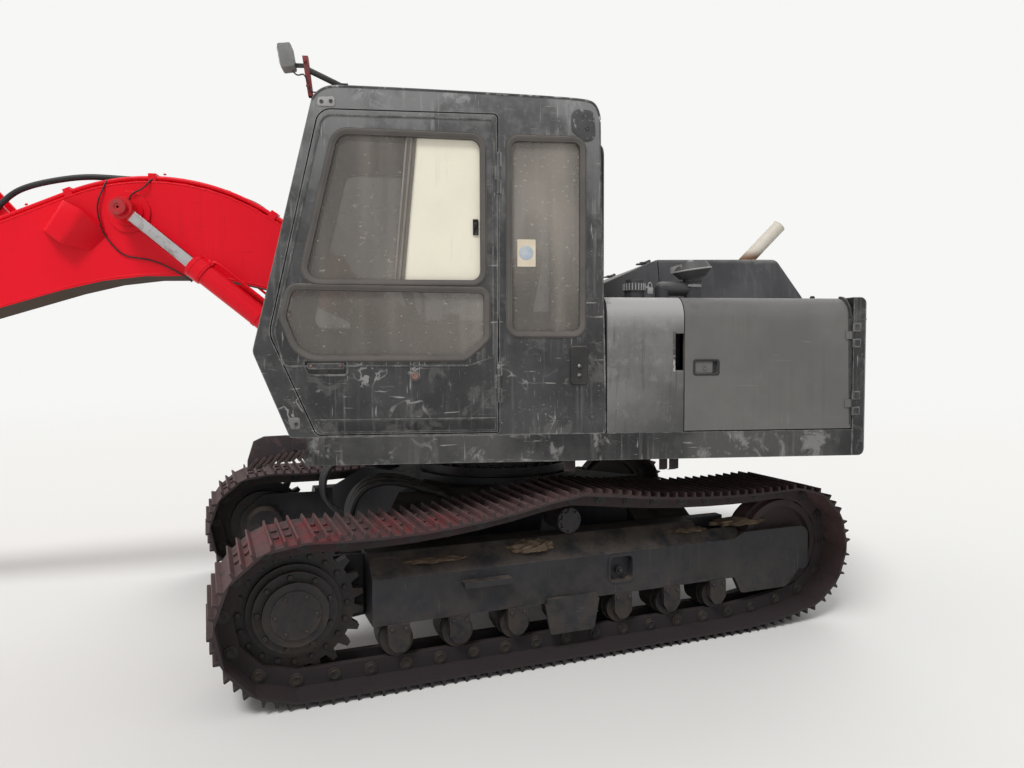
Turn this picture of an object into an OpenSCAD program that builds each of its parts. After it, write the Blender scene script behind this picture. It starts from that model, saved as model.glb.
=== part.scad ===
// Crawler excavator, 12 to 13 tonne class, in millimetres.
// +X points where the boom points, +Y to the driver's left, +Z up.
// The origin is on the slewing axis at ground level.
// Outlines seen from the side are lists of [x, z] or [x, z, corner radius].

/* [Stance] */
// Turn of the undercarriage under the house, sprockets forward, degrees
track_turn = 15.3; // [-180:0.1:180]
// Height of the carbody's top, where the slewing ring sits
ring_z = 830; // [780:1:860]
// Height of the underside of the revolving frame
frame_z = 940; // [920:1:960]
// Height of the underside of the side skirts
skirt_z = 1030; // [1000:1:1060]
// Height of the top of the deck
deck_z = 1165; // [1140:1:1190]
// Half width of the house, to the outside of the cab
house_half = 1230; // [1200:1:1260]

/* [Tracks] */
// Distance of each track's middle from the machine's middle
track_y = 995; // [960:1:1050]
// Width of the track shoes
shoe_w = 500; // [400:1:520]
// Nominal pitch of the chain's pins
shoe_pitch = 171.5; // [165:0.5:190]
// Radius of the pin line on sprocket and idler
pitch_r = 314; // [305:1:320]
// Height of a link over its pin line, to the shoe plate
link_over = 34; // [30:1:38]
// Height of a link under its pin line, to the rail that the rollers run on
link_under = 42; // [38:1:46]
// Thickness of a shoe plate
shoe_t = 12; // [10:1:14]
// Height of the three grouser bars on a shoe
grouser_h = 26; // [20:1:30]
// Distance of the sprocket's axle in front of the slewing axis
sprocket_x = 1387; // [1370:1:1420]
// Distance of the idler's axle behind the slewing axis
idler_x = -1385; // [-1420:1:-1370]
// Height of the idler's axle
idler_z = 430; // [422:1:436]
// Sag of the chain between idler and carrier roller
sag_rear = 35; // [20:1:45]
// Sag of the chain between carrier roller and sprocket
sag_front = 52; // [35:1:62]
// Number of sprocket teeth
tooth_n = 23; // [21:1:25]

/* [Track frames] */
// Height of the underside of the roller frame
side_bottom_z = 280; // [275:1:285]
// Height of the outer edge of the roller frame
side_edge_z = 500; // [480:1:510]
// Height of the top of the roller frame
side_top_z = 600; // [580:1:605]
// Half width of the roller frame
side_half = 125; // [122:1:130]
// Front end of the roller frame, towards the sprocket
side_front_x = 1040; // [1020:1:1045]
// Rear end of the plates that hold the idler
yoke_end_x = -1560; // [-1590:1:-1540]
// Pitch of the bottom rollers
roller_pitch = 305; // [290:1:308]
// Number of bottom rollers on a side
roller_n = 7; // [5:1:7]
// Tread radius of a bottom roller
roller_r = 78; // [72:1:80]
// Height of the carrier roller's axle
carrier_z = 690; // [684:1:696]
// Radius of the carrier roller
carrier_r = 66; // [60:1:70]

/* [Cab] */
// Outside of the cab's right wall
cab_right_y = 360; // [350:1:380]
// Thickness of the cab's walls and of its door
cab_wall = 40; // [30:1:45]
// Rear face of the cab
cab_rear_x = -438; // [-460:1:-430]
// Top of the cab's roof
cab_top_z = 2820; // [2780:1:2840]
// Height of the forward bend in the cab's side
cab_bend_z = 1575; // [1560:1:1590]
// Reach of that bend
cab_bend_x = 1260; // [1240:1:1275]
// Front lower corner of the cab
cab_front_x = 1093; // [1080:1:1105]
// Front upper corner of the cab
cab_brow_x = 965; // [950:1:980]
// Lower front end of the side skirts
skirt_front_x = 1016; // [1000:1:1040]
// Rear edge of the door
door_rear_x = 100; // [90:1:110]
// Height of the lower edges of the upper windows
sill_z = 1910; // [1890:1:1930]
// Height of the windows' upper edges
head_z = 2594; // [2570:1:2610]
// Thickness of the window panes
pane_t = 6; // [5:1:8]

/* [Engine house] */
// Height of the engine house's top
house_top_z = 1845; // [1820:1:1860]
// Radius of its shoulders
shoulder_r = 115; // [90:1:130]
// Front edge of the engine doors
door_seam_x = -838; // [-850:1:-830]
// Front face of the counterweight
weight_x = -1735; // [-1745:1:-1725]
// Radius of the counterweight's tail
tail_r = 2180; // [2155:1:2200]
// Length of the counterweight's flat sides
weight_side_l = 65; // [50:1:80]
// Thickness of covers and engine doors
cover_t = 30; // [20:1:34]
// Height of the hood over the engine
hood_top_z = 2105; // [2080:1:2130]
// Half width of that hood at its foot
hood_half = 700; // [680:1:710]
// Diameter of the exhaust pipe
exhaust_d = 78; // [70:1:90]

/* [Boom] */
// Boom foot pin, distance before the slewing axis
boom_foot_x = 400; // [395:1:410]
// Boom foot pin, height
boom_foot_z = 1550; // [1540:1:1560]
// Boom tip pin, distance before the slewing axis
boom_tip_x = 4950; // [4900:1:5000]
// Boom tip pin, height
boom_tip_z = 1344; // [1335:1:1355]
// Boom cylinder's upper pin, distance before the slewing axis
boom_eye_x = 2175; // [2165:1:2185]
// Boom cylinder's upper pin, height
boom_eye_z = 2395; // [2390:1:2400]
// Boom cylinder's foot pin, distance before the slewing axis
boom_cyl_x = 800; // [795:1:805]
// Boom cylinder's foot pin, height
boom_cyl_z = 1270; // [1265:1:1275]
// Distance of each boom cylinder from the machine's middle
boom_cyl_y = 272; // [270:1:276]
// Half width of the boom
boom_half = 165; // [160:1:168]
// Thickness of the boom's and arm's plates
plate_t = 22; // [16:1:26]

/* [Arm and bucket] */
// Length of the arm between its boom pin and its bucket pin
arm_l = 2100; // [2060:1:2140]
// Droop of the arm under the horizontal as it is parked, degrees
arm_droop = 25.75; // [25.7:0.05:27]
// Distance between lever pivot and bucket pin, and between the link's pins
link_l = 400; // [380:1:410]
// Length of the levers, and distance of the bucket's two pins
lever_l = 360; // [350:1:370]
// Width of the bucket
bucket_w = 900; // [800:1:1000]
// Thickness of the bucket's plates
bucket_t = 20; // [16:1:24]
// Number of bucket teeth
bucket_teeth = 5; // [4:1:6]

/* [Cylinders] */
// Rod radius
rod_r = 37; // [34:1:39]
// Barrel radius
barrel_r = 62; // [60:1:64]
// Radius of the big pins
pin_r = 35; // [30:1:38]

/* [Clearances] */
// Running clearance of pins and rods
run = 0.3; // [0.2:0.05:0.5]
// Gap between panels
gap = 6; // [5:1:9]

/* [Hidden] */
$fn = 48;

black = [0.10, 0.10, 0.105];
worn_black = [0.16, 0.16, 0.165];
red = [0.86, 0.05, 0.09];
rust = [0.33, 0.19, 0.16];
dark_steel = [0.17, 0.16, 0.16];
chrome = [0.78, 0.79, 0.80];
cream = [0.88, 0.84, 0.72];
pane_tint = [0.45, 0.50, 0.50, 0.5];

// Small helpers: unit vectors and outlines whose corners are rounded by true arcs

function unit(v) = v / norm(v);
function turned(p, a) = [p[0] * cos(a) - p[1] * sin(a), p[0] * sin(a) + p[1] * cos(a)];
function polar(c, r, a) = [c[0] + r * cos(a), c[1] + r * sin(a)];
function arc(c, r, a0, a1, n) = [for (i = [0:n]) polar(c, r, a0 + (a1 - a0) * i / n)];
function flat2(p) = [p[0], p[1]];
function corner(a, b, c, r) =
    let (u = unit(a - b), w = unit(c - b), half = acos(u * w) / 2, o = b + unit(u + w) * r / sin(half),
         p = b + u * r / tan(half), q = b + w * r / tan(half), a0 = atan2(p[1] - o[1], p[0] - o[0]),
         a1 = atan2(q[1] - o[1], q[0] - o[0]), d = a1 - a0, sweep = d > 180 ? d - 360 : d < -180 ? d + 360 : d)
    arc(o, r, a0, a0 + sweep, max(2, ceil(abs(sweep) / 7)));
function rounded(pts) = let (n = len(pts)) [for (i = [0:n - 1])
    let (p = pts[i])
    each (len(p) > 2 && p[2] > 0
        ? corner(flat2(pts[(i + n - 1) % n]), flat2(p), flat2(pts[(i + 1) % n]), p[2])
        : [flat2(p)])];

// Outline in the side view, extruded across from y0 to y1
module slab(pts, y0, y1) translate([0, y1, 0]) rotate([90, 0, 0]) linear_extrude(y1 - y0) polygon(rounded(pts));
// Outline [y, z], extruded along from x0 to x1
module along(pts, x0, x1) translate([x0, 0, 0]) rotate([90, 0, 90]) linear_extrude(x1 - x0) polygon(rounded(pts));
// Outline [x, y], extruded up from z0 to z1
module plan(pts, z0, z1) translate([0, 0, z0]) linear_extrude(z1 - z0) polygon(rounded(pts));
module block(x0, x1, y0, y1, z0, z1) translate([x0, y0, z0]) cube([x1 - x0, y1 - y0, z1 - z0]);
module pin_y(p, r, y0, y1) translate([p[0], y0, p[1]]) rotate([-90, 0, 0]) cylinder(h = y1 - y0, r = r);
module ring_y(p, r, bore, y0, y1) difference() {
    pin_y(p, r, y0, y1);
    pin_y(p, bore, y0 - 1, y1 + 1);
}
module both_sides() {
    children();
    mirror([0, 1, 0]) children();
}

// Undercarriage. It is drawn with the sprockets at +X and then turned about the slewing axis.

module under() rotate([0, 0, track_turn]) children();
module at_side(s) under() translate([0, s * track_y, 0]) mirror([0, s < 0 ? 1 : 0, 0]) children();

tip_r = pitch_r + link_over + shoe_t + grouser_h;
sprocket_c = [sprocket_x, tip_r];
idler_c = [idler_x, idler_z];
pin_line_z = tip_r - pitch_r;
crown_half = 60;
crown_lift = 12;
crown_z = carrier_z + carrier_r + link_under + crown_lift;
leave_idler = 86.5;
reach_sprocket = 94.5;
idler_rise = 8;
idler_foot = polar(idler_c, pitch_r, -90 - idler_rise);
rise_x = idler_foot[0] + (idler_foot[1] - pin_line_z) / tan(idler_rise);
function hanging(a, b, sag, n) = [for (i = [1:n - 1]) let (t = i / n)
    a * (1 - t) + b * t - [0, 4 * sag * t * (1 - t)]];
pin_path = concat(
    [[sprocket_x, pin_line_z], [rise_x, pin_line_z]],
    arc(idler_c, pitch_r, -90 - idler_rise, leave_idler - 360, 30),
    hanging(polar(idler_c, pitch_r, leave_idler), [-crown_half, crown_z], sag_rear, 12),
    [[-crown_half, crown_z], [crown_half, crown_z]],
    hanging([crown_half, crown_z], polar(sprocket_c, pitch_r, reach_sprocket), sag_front, 12),
    arc(sprocket_c, pitch_r, reach_sprocket, -90, 30));
path_s = [for (i = 0, s = 0; i < len(pin_path);
    s = s + (i + 1 < len(pin_path) ? norm(pin_path[i + 1] - pin_path[i]) : 0), i = i + 1) s];
path_l = path_s[len(path_s) - 1];
x_at = [for (i = [0:len(pin_path) - 1]) [path_s[i], pin_path[i][0]]];
z_at = [for (i = [0:len(pin_path) - 1]) [path_s[i], pin_path[i][1]]];
shoe_n = round(path_l / shoe_pitch);
pins = [for (i = [0:shoe_n - 1]) let (s = i * path_l / shoe_n) [lookup(s, x_at), lookup(s, z_at)]];
function pin_at(i) = pins[(i + shoe_n) % shoe_n];
function out_of(i) = let (d = unit(pin_at(i + 1) - pin_at(i))) [-d[1], d[0]];
function out_at(i) = unit(out_of(i) + out_of(i - 1));
function off_line(h) = [for (i = [0:shoe_n - 1]) pin_at(i) + out_at(i) * h];
plate_out = link_over + shoe_t;
bar_half = 9;
bar_top_half = 4;
// Grouser bars of one shoe, as [share of the pitch, offset along, height over the pin line]
shoe_outline = [for (c = [1, 3, 5]) each [[c / 6, -bar_half, plate_out], [c / 6, -bar_top_half, plate_out + grouser_h],
    [c / 6, bar_top_half, plate_out + grouser_h], [c / 6, bar_half, plate_out]]];
function shoe_points(i) = let (a = pin_at(i), d = pin_at(i + 1) - a, u = unit(d), o = out_of(i))
    [for (p = shoe_outline) a + d * p[0] + u * p[1] + o * p[2]];
chain_y0 = 52;
chain_y1 = 88;

module track_loop() {
    translate([0, shoe_w / 2, 0]) rotate([90, 0, 0]) linear_extrude(shoe_w) difference() {
        polygon([for (i = [0:shoe_n - 1]) each shoe_points(i)]);
        polygon(off_line(link_over));
    }
    for (y0 = [-chain_y1, chain_y0])
        translate([0, y0 + chain_y1 - chain_y0, 0]) rotate([90, 0, 0]) linear_extrude(chain_y1 - chain_y0) difference() {
            polygon(off_line(link_over + 1));
            polygon(off_line(-link_under));
        }
}
module track_left() color(rust) at_side(1) track_loop();
module track_right() color(rust) at_side(-1) track_loop();

// Sprocket with the housing of its drive: hub cover outside, motor inside
root_r = pitch_r - 34;
tooth_r = pitch_r + 11;
module drive() {
    slab([for (i = [0:tooth_n - 1]) let (a = 360 / tooth_n)
        each [for (t = [[-0.30, root_r], [-0.13, tooth_r], [0.13, tooth_r], [0.30, root_r]])
            polar(sprocket_c, t[1], (i + t[0]) * a)]], -28, 28);
    pin_y(sprocket_c, 215, -95, 60);
    pin_y(sprocket_c, 188, 59, 96);
    pin_y(sprocket_c, 147, 95, 128);
    pin_y(sprocket_c, 110, 127, 138);
    pin_y(sprocket_c, 120, -290, -125 - run);
    pin_y(sprocket_c, 150, -125 + run, -94);
    pin_y(sprocket_c, 90, -126, -124);
}
module sprocket_left() color(dark_steel) at_side(1) drive();
module sprocket_right() color(dark_steel) at_side(-1) drive();

// The links' rails are straight between the pins, so the tread is a little smaller than their corners
idler_tread = (pitch_r - link_under) * cos(asin(shoe_pitch / 2 / pitch_r)) - 2;
module idler() difference() {
    union() {
        pin_y(idler_c, idler_tread, -86, 86);
        pin_y(idler_c, idler_tread + 20, -44, 44);
        pin_y(idler_c, 60, -side_half + cover_t + run, side_half - cover_t - run);
    }
    for (s = [-1, 1]) ring_y(idler_c, idler_tread - 34, 95, s > 0 ? 50 : -87, s > 0 ? 87 : -50);
}
module idler_left() color(rust) at_side(1) idler();
module idler_right() color(rust) at_side(-1) idler();

// Bottom rollers and the carrier roller, with shafts and end collars under the frame
roller_z = pin_line_z + link_under + roller_r + run;
roller_flange = 6;
module rollers() {
    for (i = [0:roller_n - 1]) {
        c = [(i - (roller_n - 1) / 2) * roller_pitch, roller_z];
        pin_y(c, roller_r, -90, 90);
        pin_y(c, roller_r + roller_flange, -40, 40);
        pin_y(c, 34, -108, 108);
        for (s = [-1, 1])
            slab([[c[0] - 52, side_bottom_z - run], [c[0] - 52, roller_z - 10, 20], [c[0] - 22, roller_z - 48, 20],
                [c[0] + 22, roller_z - 48, 20], [c[0] + 52, roller_z - 10, 20], [c[0] + 52, side_bottom_z - run]],
                s > 0 ? 98 : -132, s > 0 ? 132 : -98);
    }
    pin_y([0, carrier_z], carrier_r, -95, 95);
    pin_y([0, carrier_z], 40, -130, -94);
    pin_y([0, carrier_z], 48, 94, 104);
}
module rollers_left() color(dark_steel) at_side(1) rollers();
module rollers_right() color(dark_steel) at_side(-1) rollers();

// Roller frame: box with a sloped outer top, yoke plates round the idler, drive bracket, guards, step
yoke_x = -1080;
module side_frame() {
    difference() {
        union() {
            along([[-side_half, side_bottom_z], [side_half, side_bottom_z], [side_half, side_edge_z],
                [10, side_top_z], [-side_half, side_top_z]], yoke_x, side_front_x);
            for (s = [-1, 1]) slab([[yoke_x + 60, side_bottom_z], [yoke_x + 60, side_edge_z],
                [yoke_x - 20, side_edge_z + 35, 20], [yoke_end_x, side_edge_z + 35, 60],
                [yoke_end_x, side_bottom_z, 25]],
                s > 0 ? side_half - cover_t : -side_half, s > 0 ? side_half : cover_t - side_half);
        }
        // Pocket for the tension valve
        slab([[-225, 350, 25], [-225, 478, 25], [-360, 478, 25], [-360, 350, 25]], side_half - 40, side_half + 1);
        // Trough over the idler's fork
        along([[-60, side_top_z - 70], [60, side_top_z - 70], [60, side_top_z + 1], [-60, side_top_z + 1]],
            yoke_x - 1, yoke_x + 260);
    }
    // Bracket that carries the drive, inside the chain
    difference() {
        slab([[side_front_x - 160, side_bottom_z + 10], [side_front_x - 160, side_top_z - 30],
            [sprocket_x, tip_r + 200, 120], [sprocket_x + 170, tip_r + 60, 120],
            [sprocket_x + 120, tip_r - 170, 120]], -side_half, -95 - run);
        pin_y(sprocket_c, 150 + run, -side_half - 1, -94);
    }
    // Carrier roller's bracket
    difference() {
        slab([[-80, side_top_z - 1], [-58, carrier_z + 58, 45], [58, carrier_z + 58, 45], [80, side_top_z - 1]],
            -side_half, 28 - side_half);
        pin_y([0, carrier_z], 40 + run, -side_half - 1, 29 - side_half);
    }
    // Guard at the middle rollers, guard under the idler, step bar
    slab([[-150, side_bottom_z + 1], [-120, 120, 20], [130, 120, 20], [160, side_bottom_z + 1]],
        side_half + 8, side_half + 22);
    block(-140, 150, side_half - 1, side_half + 22, side_bottom_z + 1, side_bottom_z + 26);
    slab([[-1030, side_bottom_z + 1], [-1080, 185, 20], [-1400, 185, 20], [-1500, side_bottom_z + 1]],
        side_half - cover_t, side_half);
    slab([[350, 425, 8], [350, 453, 8], [600, 453, 8], [600, 425, 8]], side_half - 1, side_half + 55);
}
module track_frame_left() color(black) at_side(1) side_frame();
module track_frame_right() color(black) at_side(-1) side_frame();

// Carbody: round seat for the slewing ring and four box legs down to the roller frames
leg_in = track_y - side_half;
leg_root_x = 430;
leg_foot_x = [560, 930];
tow_x = 640;
tow_z = [440, 500];
tow_r = 32;
module leg(sx, sy) mirror([sx < 0 ? 1 : 0, 0, 0]) mirror([0, sy < 0 ? 1 : 0, 0])
    intersection() {
        along([[0, 480], [leg_in, 330], [leg_in, side_top_z - 40], [500, ring_z - 40], [0, ring_z - 40]], 0, 1400);
        plan([[0, 0], [leg_root_x, 0], [leg_foot_x[1], leg_in - 120], [leg_foot_x[1], leg_in], [leg_foot_x[0], leg_in],
            [leg_foot_x[0], leg_in - 150], [120, 470], [0, 470]], 300, ring_z);
    }
module carbody() color(black) under() difference() {
    union() {
        translate([0, 0, 430]) cylinder(h = ring_z - 430 - run, r = 520);
        block(-leg_root_x, leg_root_x, -430, 430, 400, ring_z - 45);
        for (sx = [-1, 1]) for (sy = [-1, 1]) leg(sx, sy);
        // Towing eye plates at both ends, with a gusset under each
        for (sx = [-1, 1]) {
            plan([[sx * 400, -160], [sx * 400, 160], [sx * (tow_x + 70), 75, 60], [sx * (tow_x + 70), -75, 60]],
                tow_z[0], tow_z[1]);
            slab([[sx * 400, tow_z[1] - 1], [sx * 400, tow_z[1] + 130], [sx * (tow_x - 70), tow_z[1] - 1]], -14, 14);
        }
    }
    translate([0, 0, 399]) cylinder(h = ring_z, r = 190);
    for (sx = [-1, 1]) translate([sx * tow_x, 0, tow_z[0] - 1]) cylinder(h = tow_z[1] - tow_z[0] + 2, r = tow_r);
}

// Slewing ring between carbody and revolving frame, with its inner race
module slew_ring() color(dark_steel) difference() {
    union() {
        translate([0, 0, ring_z]) cylinder(h = 52, r = 480);
        translate([0, 0, ring_z + 51]) cylinder(h = frame_z - ring_z - 51 - run, r = 445);
    }
    translate([0, 0, ring_z - 1]) cylinder(h = frame_z - ring_z + 2, r = 360);
}

// Revolving frame: floor plate, two long cheek plates with the boom foot, decks, skirts and cross beams
boom_foot = [boom_foot_x, boom_foot_z];
boom_tip = [boom_tip_x, boom_tip_z];
boom_eye = [boom_eye_x, boom_eye_z];
boom_cyl = [boom_cyl_x, boom_cyl_z];
cheek_y0 = boom_half + 8;
cheek_t = 28;
cheek_out_y = cheek_y0 + cheek_t;
rail_z = 1190;
skirt_t = 45;
deck_t = 30;
floor_t = 22;
floor_half = 440;
floor_front_x = 960;
cyl_foot_r = 66;
cyl_foot_half = 36;
lug_t = 20;
lug_y = boom_cyl_y + barrel_r - lug_t;
lug_cap_y = lug_y + lug_t + 8;
module cheek() difference() {
    union() {
        slab([[weight_x + run, frame_z + floor_t - 1], [weight_x + run, rail_z], [-620, rail_z, 200], [-330, rail_z + 40, 200],
            [boom_foot_x - 150, boom_foot_z + 60, 80], [boom_foot_x, boom_foot_z + 150, 110],
            [boom_foot_x + 140, boom_foot_z, 100], [boom_foot_x + 230, 1330, 60], [boom_cyl_x - 40, boom_cyl_z + 40, 20],
            [boom_cyl_x + 60, boom_cyl_z - 90], [floor_front_x, 1110, 30], [floor_front_x, frame_z + floor_t - 1]],
            cheek_y0, cheek_out_y);
        pin_y(boom_cyl, cyl_foot_r, cheek_y0, boom_cyl_y - cyl_foot_half - gap);
    }
    pin_y(boom_foot, 45 + run, cheek_y0 - 1, cheek_out_y + 1);
    pin_y(boom_cyl, pin_r + run, cheek_y0 - 1, boom_cyl_y);
}
// Outer lug of a boom cylinder's foot, on the floor plate, clear of the barrel as it swings
module foot_lug() difference() {
    union() {
        slab([[boom_cyl_x - 150, frame_z + floor_t - 1], [boom_cyl_x - 56, boom_cyl_z + 6], [boom_cyl_x + 48, boom_cyl_z - 30],
            [boom_cyl_x + 90, frame_z + floor_t - 1]], lug_y, lug_y + lug_t);
        pin_y(boom_cyl, cyl_foot_r, lug_y, lug_y + lug_t);
    }
    pin_y(boom_cyl, pin_r + run, lug_y - 1, lug_y + lug_t + 1);
}
module revolving_frame() color(black) {
    block(weight_x + run, floor_front_x, -floor_half, floor_half, frame_z, frame_z + floor_t);
    both_sides() {
        cheek();
        foot_lug();
    }
    block(890, 925, -cheek_y0 - 1, cheek_y0 + 1, frame_z + floor_t - 1, 1120);
    block(-200, -165, -cheek_y0 - 1, cheek_y0 + 1, frame_z + floor_t - 1, 1180);
    pin_y(boom_foot, 45, -cheek_out_y - 22, cheek_out_y + 22);
    both_sides() {
        pin_y(boom_foot, 70, cheek_out_y + run, cheek_out_y + 24);
        pin_y(boom_cyl, pin_r, cheek_y0, lug_cap_y);
        pin_y(boom_cyl, 50, lug_y + lug_t + run, lug_cap_y);
    }
}

// Decks beside the frame, with the side skirts and the cross beams that carry them
deck_in_y = cheek_out_y + run;
lug_clear_y = lug_y + lug_t + gap;
deck_outline = [[weight_x + run, deck_in_y], [600, deck_in_y], [600, lug_clear_y], [980, lug_clear_y], [980, 560],
    [cab_front_x, 700, 30], [cab_front_x, house_half, 40], [weight_x + run, house_half]];
module deck() {
    difference() {
        intersection() {
            plan(deck_outline, skirt_z, deck_z - run);
            slab([[weight_x, skirt_z - 1], [skirt_front_x, skirt_z - 1], [cab_front_x, deck_z], [weight_x, deck_z]],
                0, house_half + 1);
        }
        plan([[weight_x - 1, deck_in_y - 1], [910, deck_in_y - 1], [910, 590], [skirt_front_x - skirt_t, 700],
            [skirt_front_x - skirt_t, house_half - skirt_t], [weight_x - 1, house_half - skirt_t]],
            skirt_z - 1, deck_z - deck_t);
    }
    for (x = [-1600, -1100, -560, 40, 520])
        along([[deck_in_y, frame_z + floor_t + run], [floor_half, frame_z + floor_t + run], [house_half - skirt_t + 1, skirt_z],
            [house_half - skirt_t + 1, deck_z - deck_t + 1], [deck_in_y, deck_z - deck_t + 1]], x, x + 40);
}
module deck_left() color(black) deck();
module deck_right() color(black) mirror([0, 1, 0]) deck();

// Counterweight: one casting whose tail follows a circle round the slewing axis
module counterweight() color(worn_black) {
    weight_casting();
    for (s = [-1, 1]) door_hinges(s, false);
}
// The tail's arc runs through the rear ends of both flat sides
tail_x = weight_x - weight_side_l + sqrt(tail_r * tail_r - house_half * house_half);
tail_edge_r = 25;
lift_hole = [weight_x - 165, house_half - 610];
lift_hole_l = 120;
module weight_casting() intersection() {
    translate([tail_x, 0, 0]) rotate_extrude($fn = 120) polygon(rounded([[tail_r / 2, skirt_z], [tail_r, skirt_z, tail_edge_r],
        [tail_r, house_top_z, tail_edge_r], [tail_r / 2, house_top_z]]));
    difference() {
        block(tail_x - tail_r - 10, weight_x, -house_half, house_half, skirt_z - 10, house_top_z + 10);
        for (s = [-1, 1]) translate([lift_hole[0], s * lift_hole[1], house_top_z - lift_hole_l])
            cylinder(h = lift_hole_l + 1, r = 18);
    }
}

// Engine, as its plain mass on the frame's rails
module engine_block() color([0.3, 0.3, 0.3])
    plan([[weight_x + 175, -430, 30], [weight_x + 775, -430, 30], [weight_x + 775, 430, 30], [weight_x + 175, 430, 30]],
        rail_z + run, house_top_z - 55);

// Covers of the engine house. All share one cross-section with rounded shoulders.
function cover_section(s, y_in, z0, t) = concat(
    [[s * (house_half - t), z0], [s * house_half, z0]],
    [for (p = arc([house_half - shoulder_r, house_top_z - shoulder_r], shoulder_r, 0, 90, 10)) [s * p[0], p[1]]],
    [[s * y_in, house_top_z], [s * y_in, house_top_z - t]],
    [for (p = arc([house_half - shoulder_r, house_top_z - shoulder_r], shoulder_r - t, 90, 0, 10)) [s * p[0], p[1]]]);
cover_in_y = house_half - 170;
module left_panel() color(worn_black) {
    difference() {
        along(cover_section(1, cover_in_y, deck_z, cover_t), door_seam_x + gap / 2, cab_rear_x - gap);
        // Grip slot beside the engine door's edge
        block(door_seam_x, door_seam_x + 46, house_half - cover_t - 1, house_half + 1, 1475, 1660);
    }
    block(cab_rear_x - gap - 24, cab_rear_x - gap, 300, house_half - cover_t + 1, deck_z, house_top_z - cover_t);
}
module engine_door(s) difference() {
    along(cover_section(s, cover_in_y, deck_z + gap, cover_t), weight_x + gap, door_seam_x - gap / 2);
    // Recess of the latch
    slab([[-893, 1458, 10], [-893, 1522, 10], [-1012, 1522, 10], [-1012, 1458, 10]],
        s > 0 ? house_half - 14 : -house_half - 1, s > 0 ? house_half + 1 : 14 - house_half);
}
door_hinge_x = weight_x + gap / 2;
door_hinge_r = 6;
door_hinge_y = house_half + door_hinge_r + 1;
door_hinge_z = [1300, 1650];
module door_hinges(s, moving) for (z = door_hinge_z)
    hinge_z([door_hinge_x, s * door_hinge_y, z], door_hinge_r, 120, 40, moving, s);
module left_engine_door() color(worn_black) {
    engine_door(1);
    door_hinges(1, true);
}
module right_engine_door() color(worn_black) {
    engine_door(-1);
    door_hinges(-1, true);
}

// Fixed top covers beside the hood, with the filler neck and cap in front of the air intake
filler = [-662, house_half - 300];
cover_lap = 45;
module side_covers() color(black) {
    for (s = [-1, 1]) {
        y0 = s > 0 ? hood_half - cover_lap : gap - cover_in_y;
        y1 = s > 0 ? cover_in_y - gap : cover_lap - hood_half;
        block(weight_x + gap, s > 0 ? cab_rear_x - gap : door_seam_x, y0, y1, house_top_z - cover_t, house_top_z);
        // Sill bearers down to the floor
        block(weight_x + gap, weight_x + gap + 40, y0, y1, deck_z, house_top_z - cover_t + 1);
        block(door_seam_x - 36, door_seam_x - 2, y0, y1, deck_z, house_top_z - cover_t + 1);
    }
    translate([filler[0], filler[1], house_top_z - 1]) {
        cylinder(h = 46, r = 52);
        translate([0, 0, 45]) cylinder(h = 42, r = 58);
        translate([0, 0, 86]) cylinder(h = 20, r = 46);
    }
}

// Hood over the engine. Its front part is fixed, its rear part lifts.
hood_lean = 60;
hood_split_x = -880;
hood_front_x = cab_rear_x - gap - 30;
hood_front_z = 1917;
hood_rear_x = -1590;
// Hinges: three knuckles on a pin. The moving part has the middle knuckle, the fixed part the outer two.
module hinge_z(c, r, h, leaf, moving, side) translate([c[0], c[1], c[2]]) mirror([0, side < 0 ? 1 : 0, 0]) {
    for (z = moving ? [0] : [-h / 3, h / 3]) translate([0, 0, z]) {
        cylinder(h = h / 3 - 2 * run, r = r, center = true);
        translate([moving ? 0 : -leaf, -c[1] * side + house_half - 0.5, run - h / 6])
            cube([leaf, c[1] * side - house_half - 0.5, h / 3 - 2 * run]);
    }
}
module hinge_y(c, y, side) translate([c[0], y, c[1]]) {
    for (v = side < 0 ? [0] : [-40, 40]) translate([0, v, 0]) {
        rotate([90, 0, 0]) cylinder(h = 40 - 2 * run, r = 9, center = true);
        translate([side < 0 ? -50 : 0, run - 20, -12]) cube([50, 40 - 2 * run, 8]);
    }
}
hood_seat = 5;
hood_z0 = house_top_z + hood_seat;
hood_outline = [[hood_front_x, hood_z0], [hood_front_x, hood_front_z, 20], [hood_split_x + 5, 2094, 60],
    [hood_rear_x, hood_top_z, 30], [weight_x + gap, hood_z0 + 25, 8], [weight_x + gap, hood_z0]];
function hood_section(t) = [[-hood_half + t, hood_z0 - 1], [hood_half - t, hood_z0 - 1],
    [hood_half - t, hood_z0 + 20], [hood_half - hood_lean - t, hood_top_z - t, 40],
    [hood_lean + t - hood_half, hood_top_z - t, 40], [-hood_half + t, hood_z0 + 20]];
hood_inside = [[hood_front_x - cover_t, hood_z0 - 1], [hood_front_x - cover_t, hood_front_z, 20],
    [hood_split_x + 5, 2094, 60], [hood_rear_x, hood_top_z, 30], [weight_x + gap + cover_t, hood_z0 + 60, 8],
    [weight_x + gap + cover_t, hood_z0 - 1]];
hood_hinge = [hood_split_x, 2104];
hood_hinge_y = [-420, 420];
module hood_shell(x0, x1) difference() {
    intersection() {
        slab(hood_outline, -hood_half, hood_half);
        along(hood_section(0), x0, x1);
    }
    intersection() {
        translate([0, 0, -cover_t]) slab(hood_inside, -hood_half, hood_half);
        along(hood_section(cover_t), x0 - 1, x1 + 1);
    }
    // The bore below the hood is open down to its lower edge
    block(x0 - 1, x1 + 1, cover_t - hood_half, hood_half - cover_t, hood_z0 - 2, hood_z0 + cover_t);
}
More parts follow.
